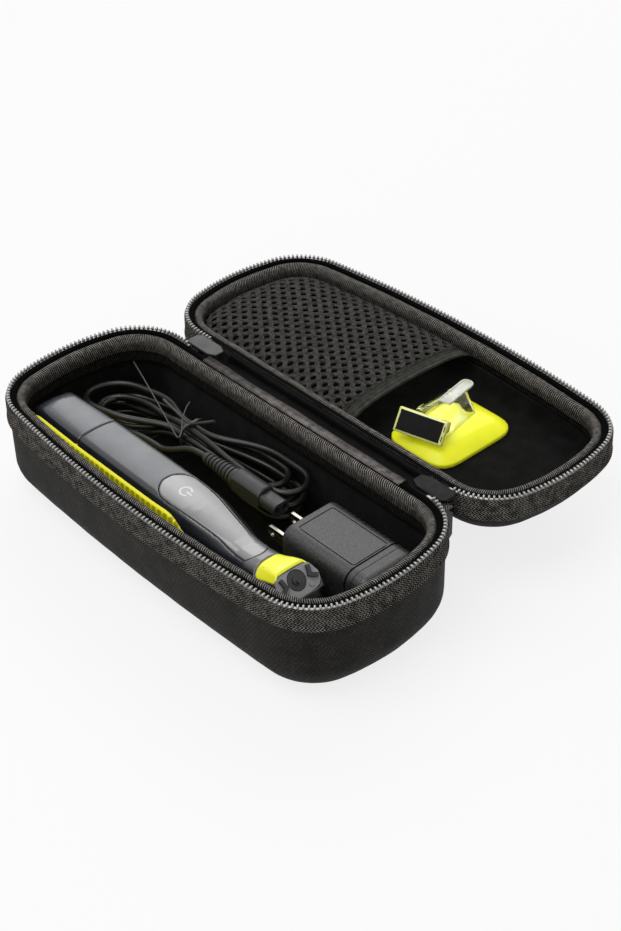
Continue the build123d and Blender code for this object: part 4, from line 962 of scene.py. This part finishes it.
# %% Rolls and bands
ROLL = soften(
    [(1.1, -1.4), (3.0, -1.6), (3.9, -3.0), (4.5, -1.8), (6.7, -2.0), (7.7, -4.2), (7.25, -6.4), (7.7, -6.9),
     (7.6, ROLL_LOW), (3.6, ROLL_LOW), (3.6, -3.3), (1.1, -3.15)],
    [0.2, 0.3, 0.35, 0.9, 1.1, 1.2, 0.3, 0.4, 0.9, 0.4, 0.15, 0.3],
)
BAND_MARK = 40.0


def band_section(half):
    """Flat band below the roll, thin at its back where it is glued to the wall."""
    low = BAND_HIGH - half["band"]
    back = 3.9 if half is BASE else 4.8
    return soften([(back, BAND_HIGH), (6.35, BAND_HIGH), (6.6, (BAND_HIGH + low) / 2), (6.35, low), (back, low)],
                  [0.2, 1.0, 1.6, 1.0, 0.2])


for half in (BASE, LID):
    name = half["body"]
    points, faces, uv = loop_band(band_section(half), half, 0.12)
    parts = [loop_band(ROLL, half, 0.14), (points, faces, uv + (0.0, BAND_MARK))]
    binding = shape(f"{name}_binding_webbing", parts)
    finish(binding, name, webbing, [f"{name}_binding"])

# %% [markdown]
# ## Zip
# The tape is a knitted strip sewn round the outside of the rim, and each tooth is a small moulded block with
# a rounded head. The teeth of the two halves stand half a pitch apart, so that they mesh when the case
# closes. A few dozen faces are enough for one tooth, because there are hundreds.

# %% Tape
TAPE = soften([(-0.62, -1.95), (-1.45, -1.95), (-1.58, -7.0), (-1.5, TAPE_LOW), (-0.62, TAPE_LOW)],
              [0.2, 0.4, 2.0, 0.35, 0.2])
HEM_ROLL = soften([(-1.35, -10.6), (-1.95, -10.8), (-1.95, -12.5), (-1.35, -12.7)], [0.1, 0.4, 0.4, 0.1])
TONGUE_HALF = 6.0


def tongue(x):
    """Tail of the base tape that runs into a slider: a thin strip with rounded edges along X."""
    section = soften([(-5.85, 46.34), (-1.55, 46.34), (-1.55, 47.16), (-5.85, 47.16)], [0.3] * 4, 3)
    along = np.linspace(x - TONGUE_HALF, x + TONGUE_HALF, 9)
    rows = np.stack(np.broadcast_arrays(along[:, None], section[:, 0], section[:, 1]), axis=-1)
    uv = np.stack(np.meshgrid(section_run(section), along), axis=-1)
    return [grid(rows, uv, wrap=True), fan(rows[0]), fan(rows[-1])]


for half in (BASE, LID):
    name = half["body"]
    parts = zip_band(TAPE, half) + zip_band(HEM_ROLL, half)
    if half is BASE:
        parts += tongue(-77.0) + tongue(88.5)
    tape = shape(f"{name}_tape_knit", parts)
    finish(tape, name, zip_knit, [f"{name}_zip_tape"])

# %% Teeth
TOOTH_COUNT = 264
TOOTH_HALF = np.array([0.55, 0.95, 0.86])
TOOTH_MIDDLE, TOOTH_BULGE = -0.95, 0.55


def bulged(part):
    """A part of a direction raised to a power under one, with its sign kept."""
    return np.sign(part) * np.abs(part) ** TOOTH_BULGE


def tooth_shape(rings=6, sides=10):
    """Rounded block: a sphere's point, each part of it bulged and then stretched."""
    rise = np.linspace(-np.pi / 2, np.pi / 2, rings)
    turn = np.linspace(0, 2 * np.pi, sides, endpoint=False)
    rise, turn = np.meshgrid(rise, turn, indexing="ij")
    flat = bulged(np.cos(rise))
    x, y = flat * bulged(np.cos(turn)), flat * bulged(np.sin(turn))
    return np.stack([x, y, bulged(np.sin(rise))], axis=-1) * TOOTH_HALF


def tooth_row(half, phase):
    """Every tooth of a half: the one shape turned to the rim at even runs, all in one array."""
    run = (np.arange(TOOTH_COUNT) + phase) / TOOTH_COUNT * WEAVE_LENGTH
    rims = [np.vstack([rim, rim[:1]]).T for rim in (RIM_SPOTS, RIM_OUTWARD)]
    spot, out = (np.stack([np.interp(run, RIM_RUN, part) for part in rim], axis=-1) for rim in rims)
    bare = (spot[:, 1] > HINGE_HALF_WIDTH - 0.2) & (spot[:, 0] > ZIP_LEFT - 1) & (spot[:, 0] < ZIP_RIGHT + 1)
    spot, out = spot[~bare], out[~bare]
    along = np.stack([-out[:, 1], out[:, 0]], axis=-1)
    one = tooth_shape()[None]
    flat = spot[:, None, None] + one[..., :1] * along[:, None, None] + one[..., 1:2] * out[:, None, None]
    height = np.broadcast_to(one[..., 2:] + TOOTH_MIDDLE, flat.shape[:3] + (1,))
    points = put(np.concatenate([flat, height], axis=-1), half)
    faces, points = ring_faces(points), points.reshape(-1, 3)
    return points, faces, points[faces][..., :2]


BEAD = soften([(-0.55, -1.7), (0.1, -1.55), (0.75, -1.7), (0.75, -2.8), (-0.55, -2.8)],
              [0.3, 0.3, 0.3, 0.2, 0.2])
for half, phase in ((BASE, 0.0), (LID, 0.5)):
    name = half["body"]
    teeth = shape(f"{name}_zip_row", [tooth_row(half, phase)] + zip_band(BEAD, half))
    finish(teeth, name, tooth_gloss, [f"{name}_zip_teeth"])

# %% [markdown]
# ## Hinge gusset
# The two halves are joined by a satin strip, folded double so that it makes two long soft ridges beside the
# base before it dives between the walls. It could be draped by simulation, but it is held on both long edges
# and only 18 mm wide, so its section is drawn and slow sines along the hinge give the puckers of the sewing.

# %% Gusset
GUSSET_START, GUSSET_END = -59.6, 71.2
GUSSET_SECTION = [
    (-10.7, 49.75), (-9.6, 50.45), (-8.5, 50.05), (-7.4, 50.5), (-6.0, 50.0), (-5.0, 48.2), (-4.3, 45.6),
    (-2.8, 42.9), (-0.4, 41.4), (2.4, 41.4), (4.4, 42.6), (5.2, 44.4), (6.1, 45.6), (7.4, 45.95),
]


def smooth_run(points, count):
    """Points spaced evenly on a smooth curve through the given ones: each piece is the cubic whose slopes
    at its ends follow the neighbours."""
    points = np.asarray(points, float)
    padded = np.vstack([2 * points[0] - points[1], points, 2 * points[-1] - points[-2]])
    place = np.linspace(0, len(points) - 1, max(count, 2) * 8)
    index = np.minimum(place.astype(int), len(points) - 2)
    t = (place - index)[:, None]
    p0, p1, p2, p3 = (padded[index + k] for k in range(4))
    bend, twist = 2 * p0 - 5 * p1 + 4 * p2 - p3, 3 * p1 - p0 - 3 * p2 + p3
    fine = 0.5 * (2 * p1 + (p2 - p0) * t + bend * t**2 + twist * t**3)
    run = run_along(fine)
    even = np.linspace(0, run[-1], count)
    return np.stack([np.interp(even, run, fine[:, axis]) for axis in range(points.shape[1])], axis=-1)


def thicken(piece, thickness):
    """Cloth's own thickness, added below it by Solidify so that the sheet stays one grid."""
    solid = piece.modifiers.new("thickness", "SOLIDIFY")
    solid.thickness, solid.offset = thickness * MM, -1.0


def gusset_points(columns=260, rows=46):
    """Rows run across the hinge and columns along it. Each point moves up and down by sines of the run whose
    size is a sine of the way across, so that the sewn edges stay where they are."""
    section = smooth_run(GUSSET_SECTION, rows)
    x = np.linspace(GUSSET_START, GUSSET_END, columns)
    across = np.linspace(0, 1, rows)[:, None]
    hold = np.sin(np.pi * across) ** 0.8
    pucker = 0.10 * np.sin(x / 1.5 + 3 * across) + 0.16 * np.sin(x / 3.7 + 1.0)
    pucker = pucker + 0.22 * np.sin(x / 11.0 + 5 * across)
    lean = 0.22 * np.sin(x / 7.3 + 2.0) * hold
    y = section[:, :1] + lean
    z = section[:, 1:] + hold * pucker
    points = np.stack([np.broadcast_to(x, y.shape), y, z], axis=-1)
    return points, np.stack(np.meshgrid(x, run_along(section)), axis=-1)


gusset = shape("gusset_satin_strip", [grid(*gusset_points())])
thicken(gusset, 0.5)
finish(gusset, None, gusset_satin, ["hinge_gusset"])
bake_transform(gusset)

# %% [markdown]
# ## The lid's pocket
# The net is a warp knit with a round hole in every six-sided cell. One cell is four loops of points: its
# border, which it shares with its neighbours, two raised ones and the hole's edge. Every cell is the same
# ring moved to its place, then the whole flat net is laid over the pocket's dome.

# %% Distance from the rim, and the dome over it
POCKET_INSET, POCKET_DROP, DOME_RISE, DOME_REACH = 6.7, 10.4, 7.2, 7.5


def rim_inset(x, y):
    """Distance inside the rim: the least of the distances to its four sides, or inside a corner's wedge the
    distance to the corner's own circle."""
    end_x, front_y, bow_radius, back, corner = rim_centres()
    found = np.minimum(END_ARC_RADIUS - np.hypot(np.abs(x) - end_x, y), bow_radius - np.hypot(x, y - front_y))
    found = np.minimum(found, HINGE_HALF_WIDTH - y)
    for (corner_x, corner_y), low, high in (
        (back, math.atan2(back[1], back[0] - end_x), math.pi / 2),
        (corner, math.atan2(corner[1] - front_y, corner[0]), math.atan2(corner[1], corner[0] - end_x)),
    ):
        angle = np.arctan2(y - corner_y, np.abs(x) - corner_x)
        wedge = (angle > low) & (angle < high)
        found = np.where(wedge, CORNER_RADIUS - np.hypot(np.abs(x) - corner_x, y - corner_y), found)
    return found


def hold_inside(x, y, least):
    """Points nearer the rim than least are moved straight inward until they are not."""
    step = 0.05
    for _ in range(3):
        here = rim_inset(x, y)
        slope = np.stack([rim_inset(x + step, y) - here, rim_inset(x, y + step) - here]) / step
        short = np.clip(least - here, 0, None)
        x, y = x + short * slope[0], y + short * slope[1]
    return x, y


def dome(x, y):
    """Height over the lid: steep at its edge and flattening inward, like a filled pocket."""
    inward = np.clip(rim_inset(x, y) - POCKET_INSET, 0, None)
    return DOME_RISE * (1 - np.exp(-inward / DOME_REACH)) - POCKET_DROP


# %% Net
CELL_X, CELL_Y, HEM_START = 8.1, 6.4, 5.6
HOLE = np.array([1.66, 1.92])


def net_cell(per_side=3):
    """Loops of one cell about its own middle, from border to hole: border corners come from the lattice."""
    corner_x = (CELL_X**2 + CELL_Y**2) / (4 * CELL_X)
    side_x = corner_x - CELL_Y**2 / (2 * CELL_X)
    corners = np.array([(corner_x, 0), (side_x, CELL_Y / 2), (-side_x, CELL_Y / 2), (-corner_x, 0),
                        (-side_x, -CELL_Y / 2), (side_x, -CELL_Y / 2)])
    share = np.arange(per_side)[None, :, None] / per_side
    border = (corners[:, None] * (1 - share) + np.roll(corners, -1, axis=0)[:, None] * share).reshape(-1, 2)
    turn = np.arctan2(border[:, 1], border[:, 0])
    hole = np.stack([np.cos(turn), np.sin(turn)], axis=-1) * HOLE
    loops = [border, border * 0.62 + hole * 0.38, border * 0.28 + hole * 0.72, hole]
    return np.stack(loops), np.array([0.0, 0.42, 0.46, 0.0])


def net_points():
    """Every cell whose middle lies over the pocket, as one array: cell, loop, point."""
    loops, rise = net_cell()
    i, j = np.meshgrid(np.arange(-30, 10), np.arange(-10, 11), indexing="ij")
    centre = np.stack([i * CELL_X / 2, j * CELL_Y + (i % 2) * CELL_Y / 2], axis=-1).reshape(-1, 2)
    keep = (rim_inset(centre[:, 0], centre[:, 1]) > POCKET_INSET + 0.4) & (centre[:, 0] < HEM_START)
    centre = centre[keep]
    flat = centre[:, None, None] + loops[None]
    x, y = hold_inside(flat[..., 0], flat[..., 1], POCKET_INSET)
    x = np.minimum(x, HEM_START + 1.2)
    z = dome(x, y) + rise[None, :, None] - 0.5
    around = np.arctan2(loops[..., 1], loops[..., 0]) * 1.8
    out = np.linalg.norm(loops, axis=-1)
    uv = np.broadcast_to(np.stack([around, out], axis=-1), (len(centre),) + loops.shape)
    return np.stack([x, y, z], axis=-1), uv


def net_mesh():
    points, uv = net_points()
    faces = ring_faces(points)
    print("net cells:", len(points))
    return put(points, LID).reshape(-1, 3), faces, uv.reshape(-1, 2)[faces]


net = shape("pocket_net", [net_mesh()])
thicken(net, 0.55)
finish(net, "lid", net_yarn, ["pocket_mesh"])

# %% Hem
HEM_INSET = 7.95
HEM_PROFILE = [
    (5.2, 0.05), (5.5, 0.55), (5.9, 0.75), (6.3, 0.3), (6.7, 0.35), (7.1, 0.8), (7.5, 0.35), (7.9, 0.72),
    (8.3, 0.4), (8.7, 0.74), (9.1, 0.42), (9.5, 0.74), (9.9, 0.5), (10.6, 0.72), (11.6, 0.8), (12.4, 0.72),
    (13.0, 0.6), (13.5, 0.85), (14.2, 1.05), (14.8, 0.8), (15.0, 0.35),
]


def hem_points(rows=150, columns=64):
    """Flat elastic band across the pocket's mouth: each column runs from wall to wall over the dome, and
    each row follows the profile of cords and the rolled edge."""
    profile = smooth_run(HEM_PROFILE, columns)
    trial = np.linspace(-50, 46, 400)
    inside = rim_inset(*np.broadcast_arrays(profile[:, :1], trial)) > HEM_INSET
    low, high = trial[inside.argmax(axis=1)], trial[::-1][inside[:, ::-1].argmax(axis=1)]
    share = np.linspace(0, 1, rows)[:, None]
    y = low + (high - low) * share
    x = np.broadcast_to(profile[:, 0], y.shape) - 0.9 * np.sin(np.pi * share) ** 2
    z = dome(x, y) + profile[:, 1] + 0.06 * np.sin(y / 1.7 + x) - 0.2
    uv = np.stack([y, np.broadcast_to(profile[:, 0], y.shape)], axis=-1)
    return put(np.stack([x, y, z], axis=-1), LID), uv


hem = shape("pocket_hem_band", [grid(*hem_points())])
thicken(hem, 0.7)
finish(hem, "lid", hem_webbing, ["pocket_hem"])
print("pocket:", len(net.data.polygons), "net faces and", len(hem.data.polygons), "hem faces")

# %% [markdown]
# ## Spare blade
# The blade lies in the lid on its lime cap: a flat cassette with a ribbed black insert leans against a clear
# hood, whose milky tongue is for the finger. Small plates are drawn as an outline with an eased edge, in
# axes of their own: along, across and out. The hood is the same idea with an inside.

# %% Plates and cups in their own axes
TRAY_TOP = 37.35


def axes(turn, tilt):
    """Rows along, up the slope and out of a plate turned about Z and then tipped about its long side."""
    turn, tilt = math.radians(turn), math.radians(tilt)
    along = np.array([math.cos(turn), math.sin(turn), 0.0])
    level = np.array([-math.sin(turn), math.cos(turn), 0.0])
    slope = level * math.cos(tilt) + np.array([0.0, 0.0, math.sin(tilt)])
    return np.stack([along, slope, np.cross(along, slope)])


def rings_form(rings, spot, seat):
    """Closed form through rings of points, each in a seat's own axes, its two ends closed to their middles."""
    points = np.asarray(spot) + np.asarray(rings) @ seat
    run = np.stack(np.meshgrid(np.arange(points.shape[1] + 1) * 0.5, np.arange(len(points)) * 1.0), axis=-1)
    return [grid(points, run, wrap=True), fan(points[0]), fan(points[-1])]


def ring_at(outline, height, inset=0.0):
    """Outline at a height, drawn in towards its middle by the inset on each side."""
    middle, half = (outline.max(axis=0) + outline.min(axis=0)) / 2, np.ptp(outline, axis=0) / 2
    flat = middle + (outline - middle) * (1 - inset / half)
    return np.column_stack([flat, np.full(len(flat), height)])


def plate(outline, low, high, edge, spot, seat):
    """Plate between two heights with its edges eased."""
    steps = ((low, edge), (low + edge, 0.0), (high - edge, 0.0), (high, edge))
    return rings_form([ring_at(outline, *step) for step in steps], spot, seat)


def oblong(length, width, corner, start=(0.0, 0.0)):
    """Rounded rectangle from a starting corner."""
    x, y = start
    corners = [(x, y), (x + length, y), (x + length, y + width), (x, y + width)]
    return soften(corners, [corner] * 4, 6)


# %% Cap
TRAY_MIDDLE, TRAY_SIZE, TRAY_CORNER, TRAY_LOW = (42.0, 51.6), (38.0, 49.0), 11.0, 29.65
TRAY_RIM, TRAY_REACH = 1.8, 15.0


def tray_rings(count=16):
    """Cushion: from the rim inward the height follows one minus a power of what is left of the way."""
    start = [middle - size / 2 for middle, size in zip(TRAY_MIDDLE, TRAY_SIZE)]
    outline = oblong(*TRAY_SIZE, TRAY_CORNER, start)
    way = np.linspace(0, 1, count)
    inset = TRAY_REACH * way**1.6 + 0.35 * (1 - np.exp(-way * 30))
    rise = TRAY_LOW + TRAY_RIM + (TRAY_TOP - TRAY_LOW - TRAY_RIM) * (1 - (1 - inset / inset[-1]) ** 2.6)
    rim = [(TRAY_LOW, 1.2), (TRAY_LOW, 0.3), (TRAY_LOW + 0.3, 0.0), (TRAY_LOW + TRAY_RIM - 0.3, 0.0)]
    return [ring_at(outline, height, step) for height, step in rim + list(zip(rise, inset))]


tray = shape("blade_cap", rings_form(tray_rings(), (0, 0, 0), np.eye(3)))
finish(tray, "lid", lime_clear, ["blade_tray"])

# %% Cassette
CASSETTE_SPOT, CASSETTE_LENGTH, CASSETTE_WIDTH, CASSETTE_BODY = (30.3, 25.8, 38.75), 24.8, 11.6, 2.4
INSERT_LENGTH, INSERT_WIDTH, INSERT_START = CASSETTE_LENGTH - 2.6, CASSETTE_WIDTH - 2.0, (1.1, 1.0)
cassette_axes = axes(15.2, 52.5)
frame_outline = oblong(CASSETTE_LENGTH, CASSETTE_WIDTH, 0.8)
insert_outline = oblong(INSERT_LENGTH, INSERT_WIDTH, 0.4, INSERT_START)
slot_outlines = [oblong(0.5, 2.6, 0.2, (CASSETTE_LENGTH - 0.95, start)) for start in (2.0, 6.6)]
cassette = shape("cassette_frame", plate(frame_outline, -CASSETTE_BODY, 0.0, 0.3, CASSETTE_SPOT, cassette_axes))
finish(cassette, "lid", lime_pale, ["blade_cassette"])


def ribbed_face(columns=220, rows=100):
    """Face of the insert: a height that is a sine of the place along a slanted line, which makes fine ribs,
    with a skirt that closes it down into the frame."""
    u, v = np.meshgrid(np.linspace(0, INSERT_LENGTH, columns), np.linspace(0, INSERT_WIDTH, rows))
    rise = 0.12 * np.sin(2 * np.pi * (0.86 * u + 0.5 * v) / 1.05) + 0.2
    rise[:, [0, -1]] = rise[[0, -1], :] = -0.4
    points = np.stack([u + INSERT_START[0], v + INSERT_START[1], rise], axis=-1)
    return grid(np.asarray(CASSETTE_SPOT) + points @ cassette_axes, np.stack([u, v], axis=-1))


def insert_parts():
    parts = [ribbed_face()] + plate(insert_outline, -0.8, -0.3, 0.1, CASSETTE_SPOT, cassette_axes)
    for outline in slot_outlines:
        parts += plate(outline, -0.6, 0.06, 0.05, CASSETTE_SPOT, cassette_axes)
    return parts


insert = shape("cutter_insert", insert_parts())
finish(insert, "lid", cutter_black, ["blade_cutter"])


# %% Carrier between the cassette and the cap
def carrier_parts():
    """Two arms from the cassette's back to the cap, each a form through a leaning and a lying ring."""
    parts = []
    for low, high in ((4.0, 8.0), (17.0, 21.0)):
        face = np.array([(low, 2.0, -2.2), (high, 2.0, -2.2), (high, 9.5, -2.2), (low, 9.5, -2.2)])
        near = np.asarray(CASSETTE_SPOT) + face @ cassette_axes
        far = near + (-2.2, 8.5, 0.0)
        far[:, 2] = [36.6, 36.6, 41.0, 41.0]
        parts += rings_form([near, far], (0, 0, 0), np.eye(3))
    return parts


carrier = shape("cassette_carrier", carrier_parts())
finish(carrier, "lid", handle_gloss)

# %% Clear hood with its milky tongue
HOOD_SPOT, HOOD_WALL, HOOD_RISE = (38.05, 53.04, TRAY_TOP), 0.7, 8.2
hood_axes = axes(10.0, 0.0)


def hood_ring(near, far, near_half, far_half, height, wall):
    """Four rounded corners of the hood at a height, drawn in by the wall."""
    near, far, near_half, far_half = near + wall, far - wall, near_half - wall, far_half - wall
    corners = [(-near_half, near), (near_half, near), (far_half, far), (-far_half, far)]
    return np.column_stack([soften(corners, [1.8] * 4, 5), np.full(20, height)])


HOOD_TOP, HOOD_FOOT, HOOD_LOW = (-14.6, 12.0, 8.4, 3.6), (-13.0, 10.6, 10.4, 10.4), -1.2
hood_rings = [
    hood_ring(*HOOD_TOP, HOOD_RISE - HOOD_WALL, HOOD_WALL), hood_ring(*HOOD_FOOT, HOOD_LOW, HOOD_WALL),
    hood_ring(*HOOD_FOOT, HOOD_LOW, 0.0), hood_ring(*HOOD_TOP, HOOD_RISE, 0.0),
]
hood = shape("clear_hood", rings_form(hood_rings, HOOD_SPOT, hood_axes))
finish(hood, "lid", clear_plastic, ["blade_cover"])

FINGER_LOW, FINGER_TOP = HOOD_RISE + 0.05, HOOD_RISE + 0.8
finger_outline = soften([(-3.3, -2.5), (3.3, -2.5), (3.3, 19.0), (-3.3, 19.0)], [0.8, 0.8, 3.2, 3.2], 8)
finger_path = ring_at(finger_outline, FINGER_TOP, 0.45)
finger_path = np.asarray(HOOD_SPOT) + np.vstack([finger_path, finger_path[:1]]) @ hood_axes
finger_parts = plate(finger_outline, FINGER_LOW, FINGER_TOP, 0.2, HOOD_SPOT, hood_axes)
finish(shape("hood_tongue", finger_parts + tube(finger_path, 0.42, 8)), "lid", milky_plastic)

# %% [markdown]
# ## Shaver's mouldings
# The shaver's shells come from the frame with crisp lofted faces. A moulded shell has eased edges, so each
# one is copied, its loose triangles are merged, Remesh lays an even lattice over it and Smooth eases every
# edge by about a lattice step or two. A bevel would need clean edges, which a loft of many bands hasn't. The
# long faces are crowned at the same time by a formula that all of them share, so their joints stay closed.


# %% Eased copies of the mouldings
SHAVER_HALF, CROWN, TAIL_START, TAIL_DROP = 13.0, 1.5, -88.0, 2.4


def crown(mesh, tuck):
    """Upper faces fall away from the middle line with its square, and toward the tail. The grip has no crown:
    its far side is tucked in and its tail is lowered instead, so that both stay under the handle's edge."""
    x, y, z = (read_points(mesh) / MM).T
    upper = np.clip((z - 22.0) / 7.0, 0, 1)
    side = np.clip(np.abs(y - SHAVER_LINE) / SHAVER_HALF, 0, 1.1)
    tail = np.clip((TAIL_START - x) / 12.0, 0, 1.2)
    z = z - upper * ((CROWN * side**2 if tuck == 0 else 0.0) + (TAIL_DROP + 1.6 * tuck) * tail**2)
    y = y - tuck * np.clip((y - SHAVER_LINE - 7.0) / 5.0, 0, 1)
    z = z - 1.5 * tuck * upper * np.clip((y - SHAVER_LINE - 4.0) / 5.0, 0, 1)
    mesh.vertices.foreach_set("co", (np.stack([x, y, z], axis=-1) * MM).astype(np.float32).ravel())


def draw_in(mesh, depth, lift):
    """Play for a pressed piece: each point moves in along its normal, and the underside up by the lift."""
    normals = read_points(mesh, "normal")
    spots = read_points(mesh) - normals * np.float32(depth * MM)
    spots[:, 2] += np.clip(-normals[:, 2], 0, 1) * np.float32(lift * MM)
    mesh.vertices.foreach_set("co", spots.ravel())


def eased(name, body, lattice, rounds, material, tuck=0.0, play=None):
    """Copy of a carried piece with its edges eased: lattice is the step of the new mesh in millimetres."""
    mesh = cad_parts[name].data.copy()
    merge_points(mesh, 1e-6)
    piece = in_scene(f"{name}_moulding", mesh)
    even = piece.modifiers.new("even", "REMESH")
    even.mode, even.voxel_size, even.use_smooth_shade = "VOXEL", lattice * MM, True
    ease = piece.modifiers.new("ease", "SMOOTH")
    ease.factor, ease.iterations = 0.5, rounds
    done = as_seen(piece)
    piece.modifiers.clear()
    piece.data = done
    bpy.data.meshes.remove(mesh)
    crown(done, tuck)
    if play:
        draw_in(done, *play)
    finish(piece, body, material, [name])


eased("shaver_tail_cap", "base", 0.4, 14, handle_gloss)
eased("shaver_handle", "base", 0.37, 9, handle_gloss)
eased("shaver_grip", "base", 0.56, 3, lime_rubber, tuck=1.4)
eased("power_panel", "power_button", 0.3, 3, panel_gloss, play=(0.12, 0.6))
eased("blade_release", "release_button", 0.22, 3, lime_gloss)

# %% [markdown]
# The switch is marked with the plain power sign: an open ring and a bar. It is a thin printed film, drawn as
# a strip and laid on the panel by Shrinkwrap, which follows the panel's curve exactly.


# %% Power sign
def sign_points(steps=48):
    """Flat strips of the sign about its own middle: the ring's two radii over 290 degrees, and the bar."""
    turn = np.radians(np.linspace(35, 325, steps))
    circle = np.stack([np.cos(turn), np.sin(turn)], axis=-1)
    ring = np.stack([radius * circle for radius in (2.2, 3.2)])
    along = np.linspace(0.5, 4.0, 8)
    bar = np.stack([np.stack([along, np.full(8, side)], axis=-1) for side in (0.5, -0.5)])
    return ring, bar


def lay_sign(x=4.0, drop_from=46.0):
    """The sign's film, dropped onto the panel and lifted by its own thickness."""
    chunks = []
    for flat in sign_points():
        height = np.full(flat.shape[:2] + (1,), drop_from)
        chunks.append(grid(np.concatenate([flat + (x, SHAVER_LINE), height], axis=-1), flat))
    sign = shape("power_sign", chunks)
    fall = sign.modifiers.new("fall", "SHRINKWRAP")
    fall.target, fall.wrap_method = bpy.data.objects["power_panel_moulding"], "PROJECT"
    fall.use_project_z, fall.use_negative_direction, fall.use_positive_direction = True, True, False
    fall.offset = 0.04 * MM
    done = as_seen(sign)
    sign.modifiers.clear()
    sign.data = done
    finish(sign, "power_button", print_white)


lay_sign()

# %% [markdown]
# ## Loose ends of the cord's tie
# The tie's wire sticks out long on one side, as a twist tie does when it is left open: a thin tube on a
# smooth curve, which turns back sharply where the wire was bent by hand.

# %% Tie's ends
TIE_RADIUS = 0.36
TIE_PATH = [
    (-93.0, -26.8, 40.6), (-74.0, -33.5, 40.2), (-54.0, -40.5, 38.8), (-38.0, -46.0, 37.4), (-34.2, -46.6, 36.8),
    (-36.5, -43.0, 36.8), (-43.0, -37.0, 38.0), (-47.5, -31.0, 39.0), (-50.5, -26.5, 38.6),
]
tie_ends = shape("tie_ends", tube(smooth_run(TIE_PATH, 120), TIE_RADIUS, 8))
finish(tie_ends, "base", tie_skin)

# %% [markdown]
# ## Every carried piece gets its finish
# The rigid pieces come from the frame as they are, because their form is already right. Each is matched with
# one of the recipes by name.

# %% Finishes of the carried pieces
CARRIED = {
    black_matt: ("cord_relief", "blade_latches", "drive_rotor", "inner_chassis"),
    connector_black: ("connector_boot", "connector_body", "connector_tip"),
    tie_skin: ("twist_tie",),
    slider_coat: ("slider_left", "pull_tab_left", "pull_tab_right"),
    # The right slider takes the darker copy: painted shade.
    slider_shade: ("slider_right",),
    charger_black: ("charger_case", "charger_end_cap"),
    prong_nickel: ("charger_prongs",),
    plate_grey: ("head_plate",),
    cell_sleeve: ("battery_cell",),
    bright_steel: ("drive_motor",),
    board_green: ("circuit_board",),
}
for material, names in CARRIED.items():
    for name in names:
        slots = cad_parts[name].data.materials
        slots.clear()
        slots.append(material)
shown = [name for name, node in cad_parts.items() if not node.hide_render]
print("carried pieces shown:", ", ".join(shown))
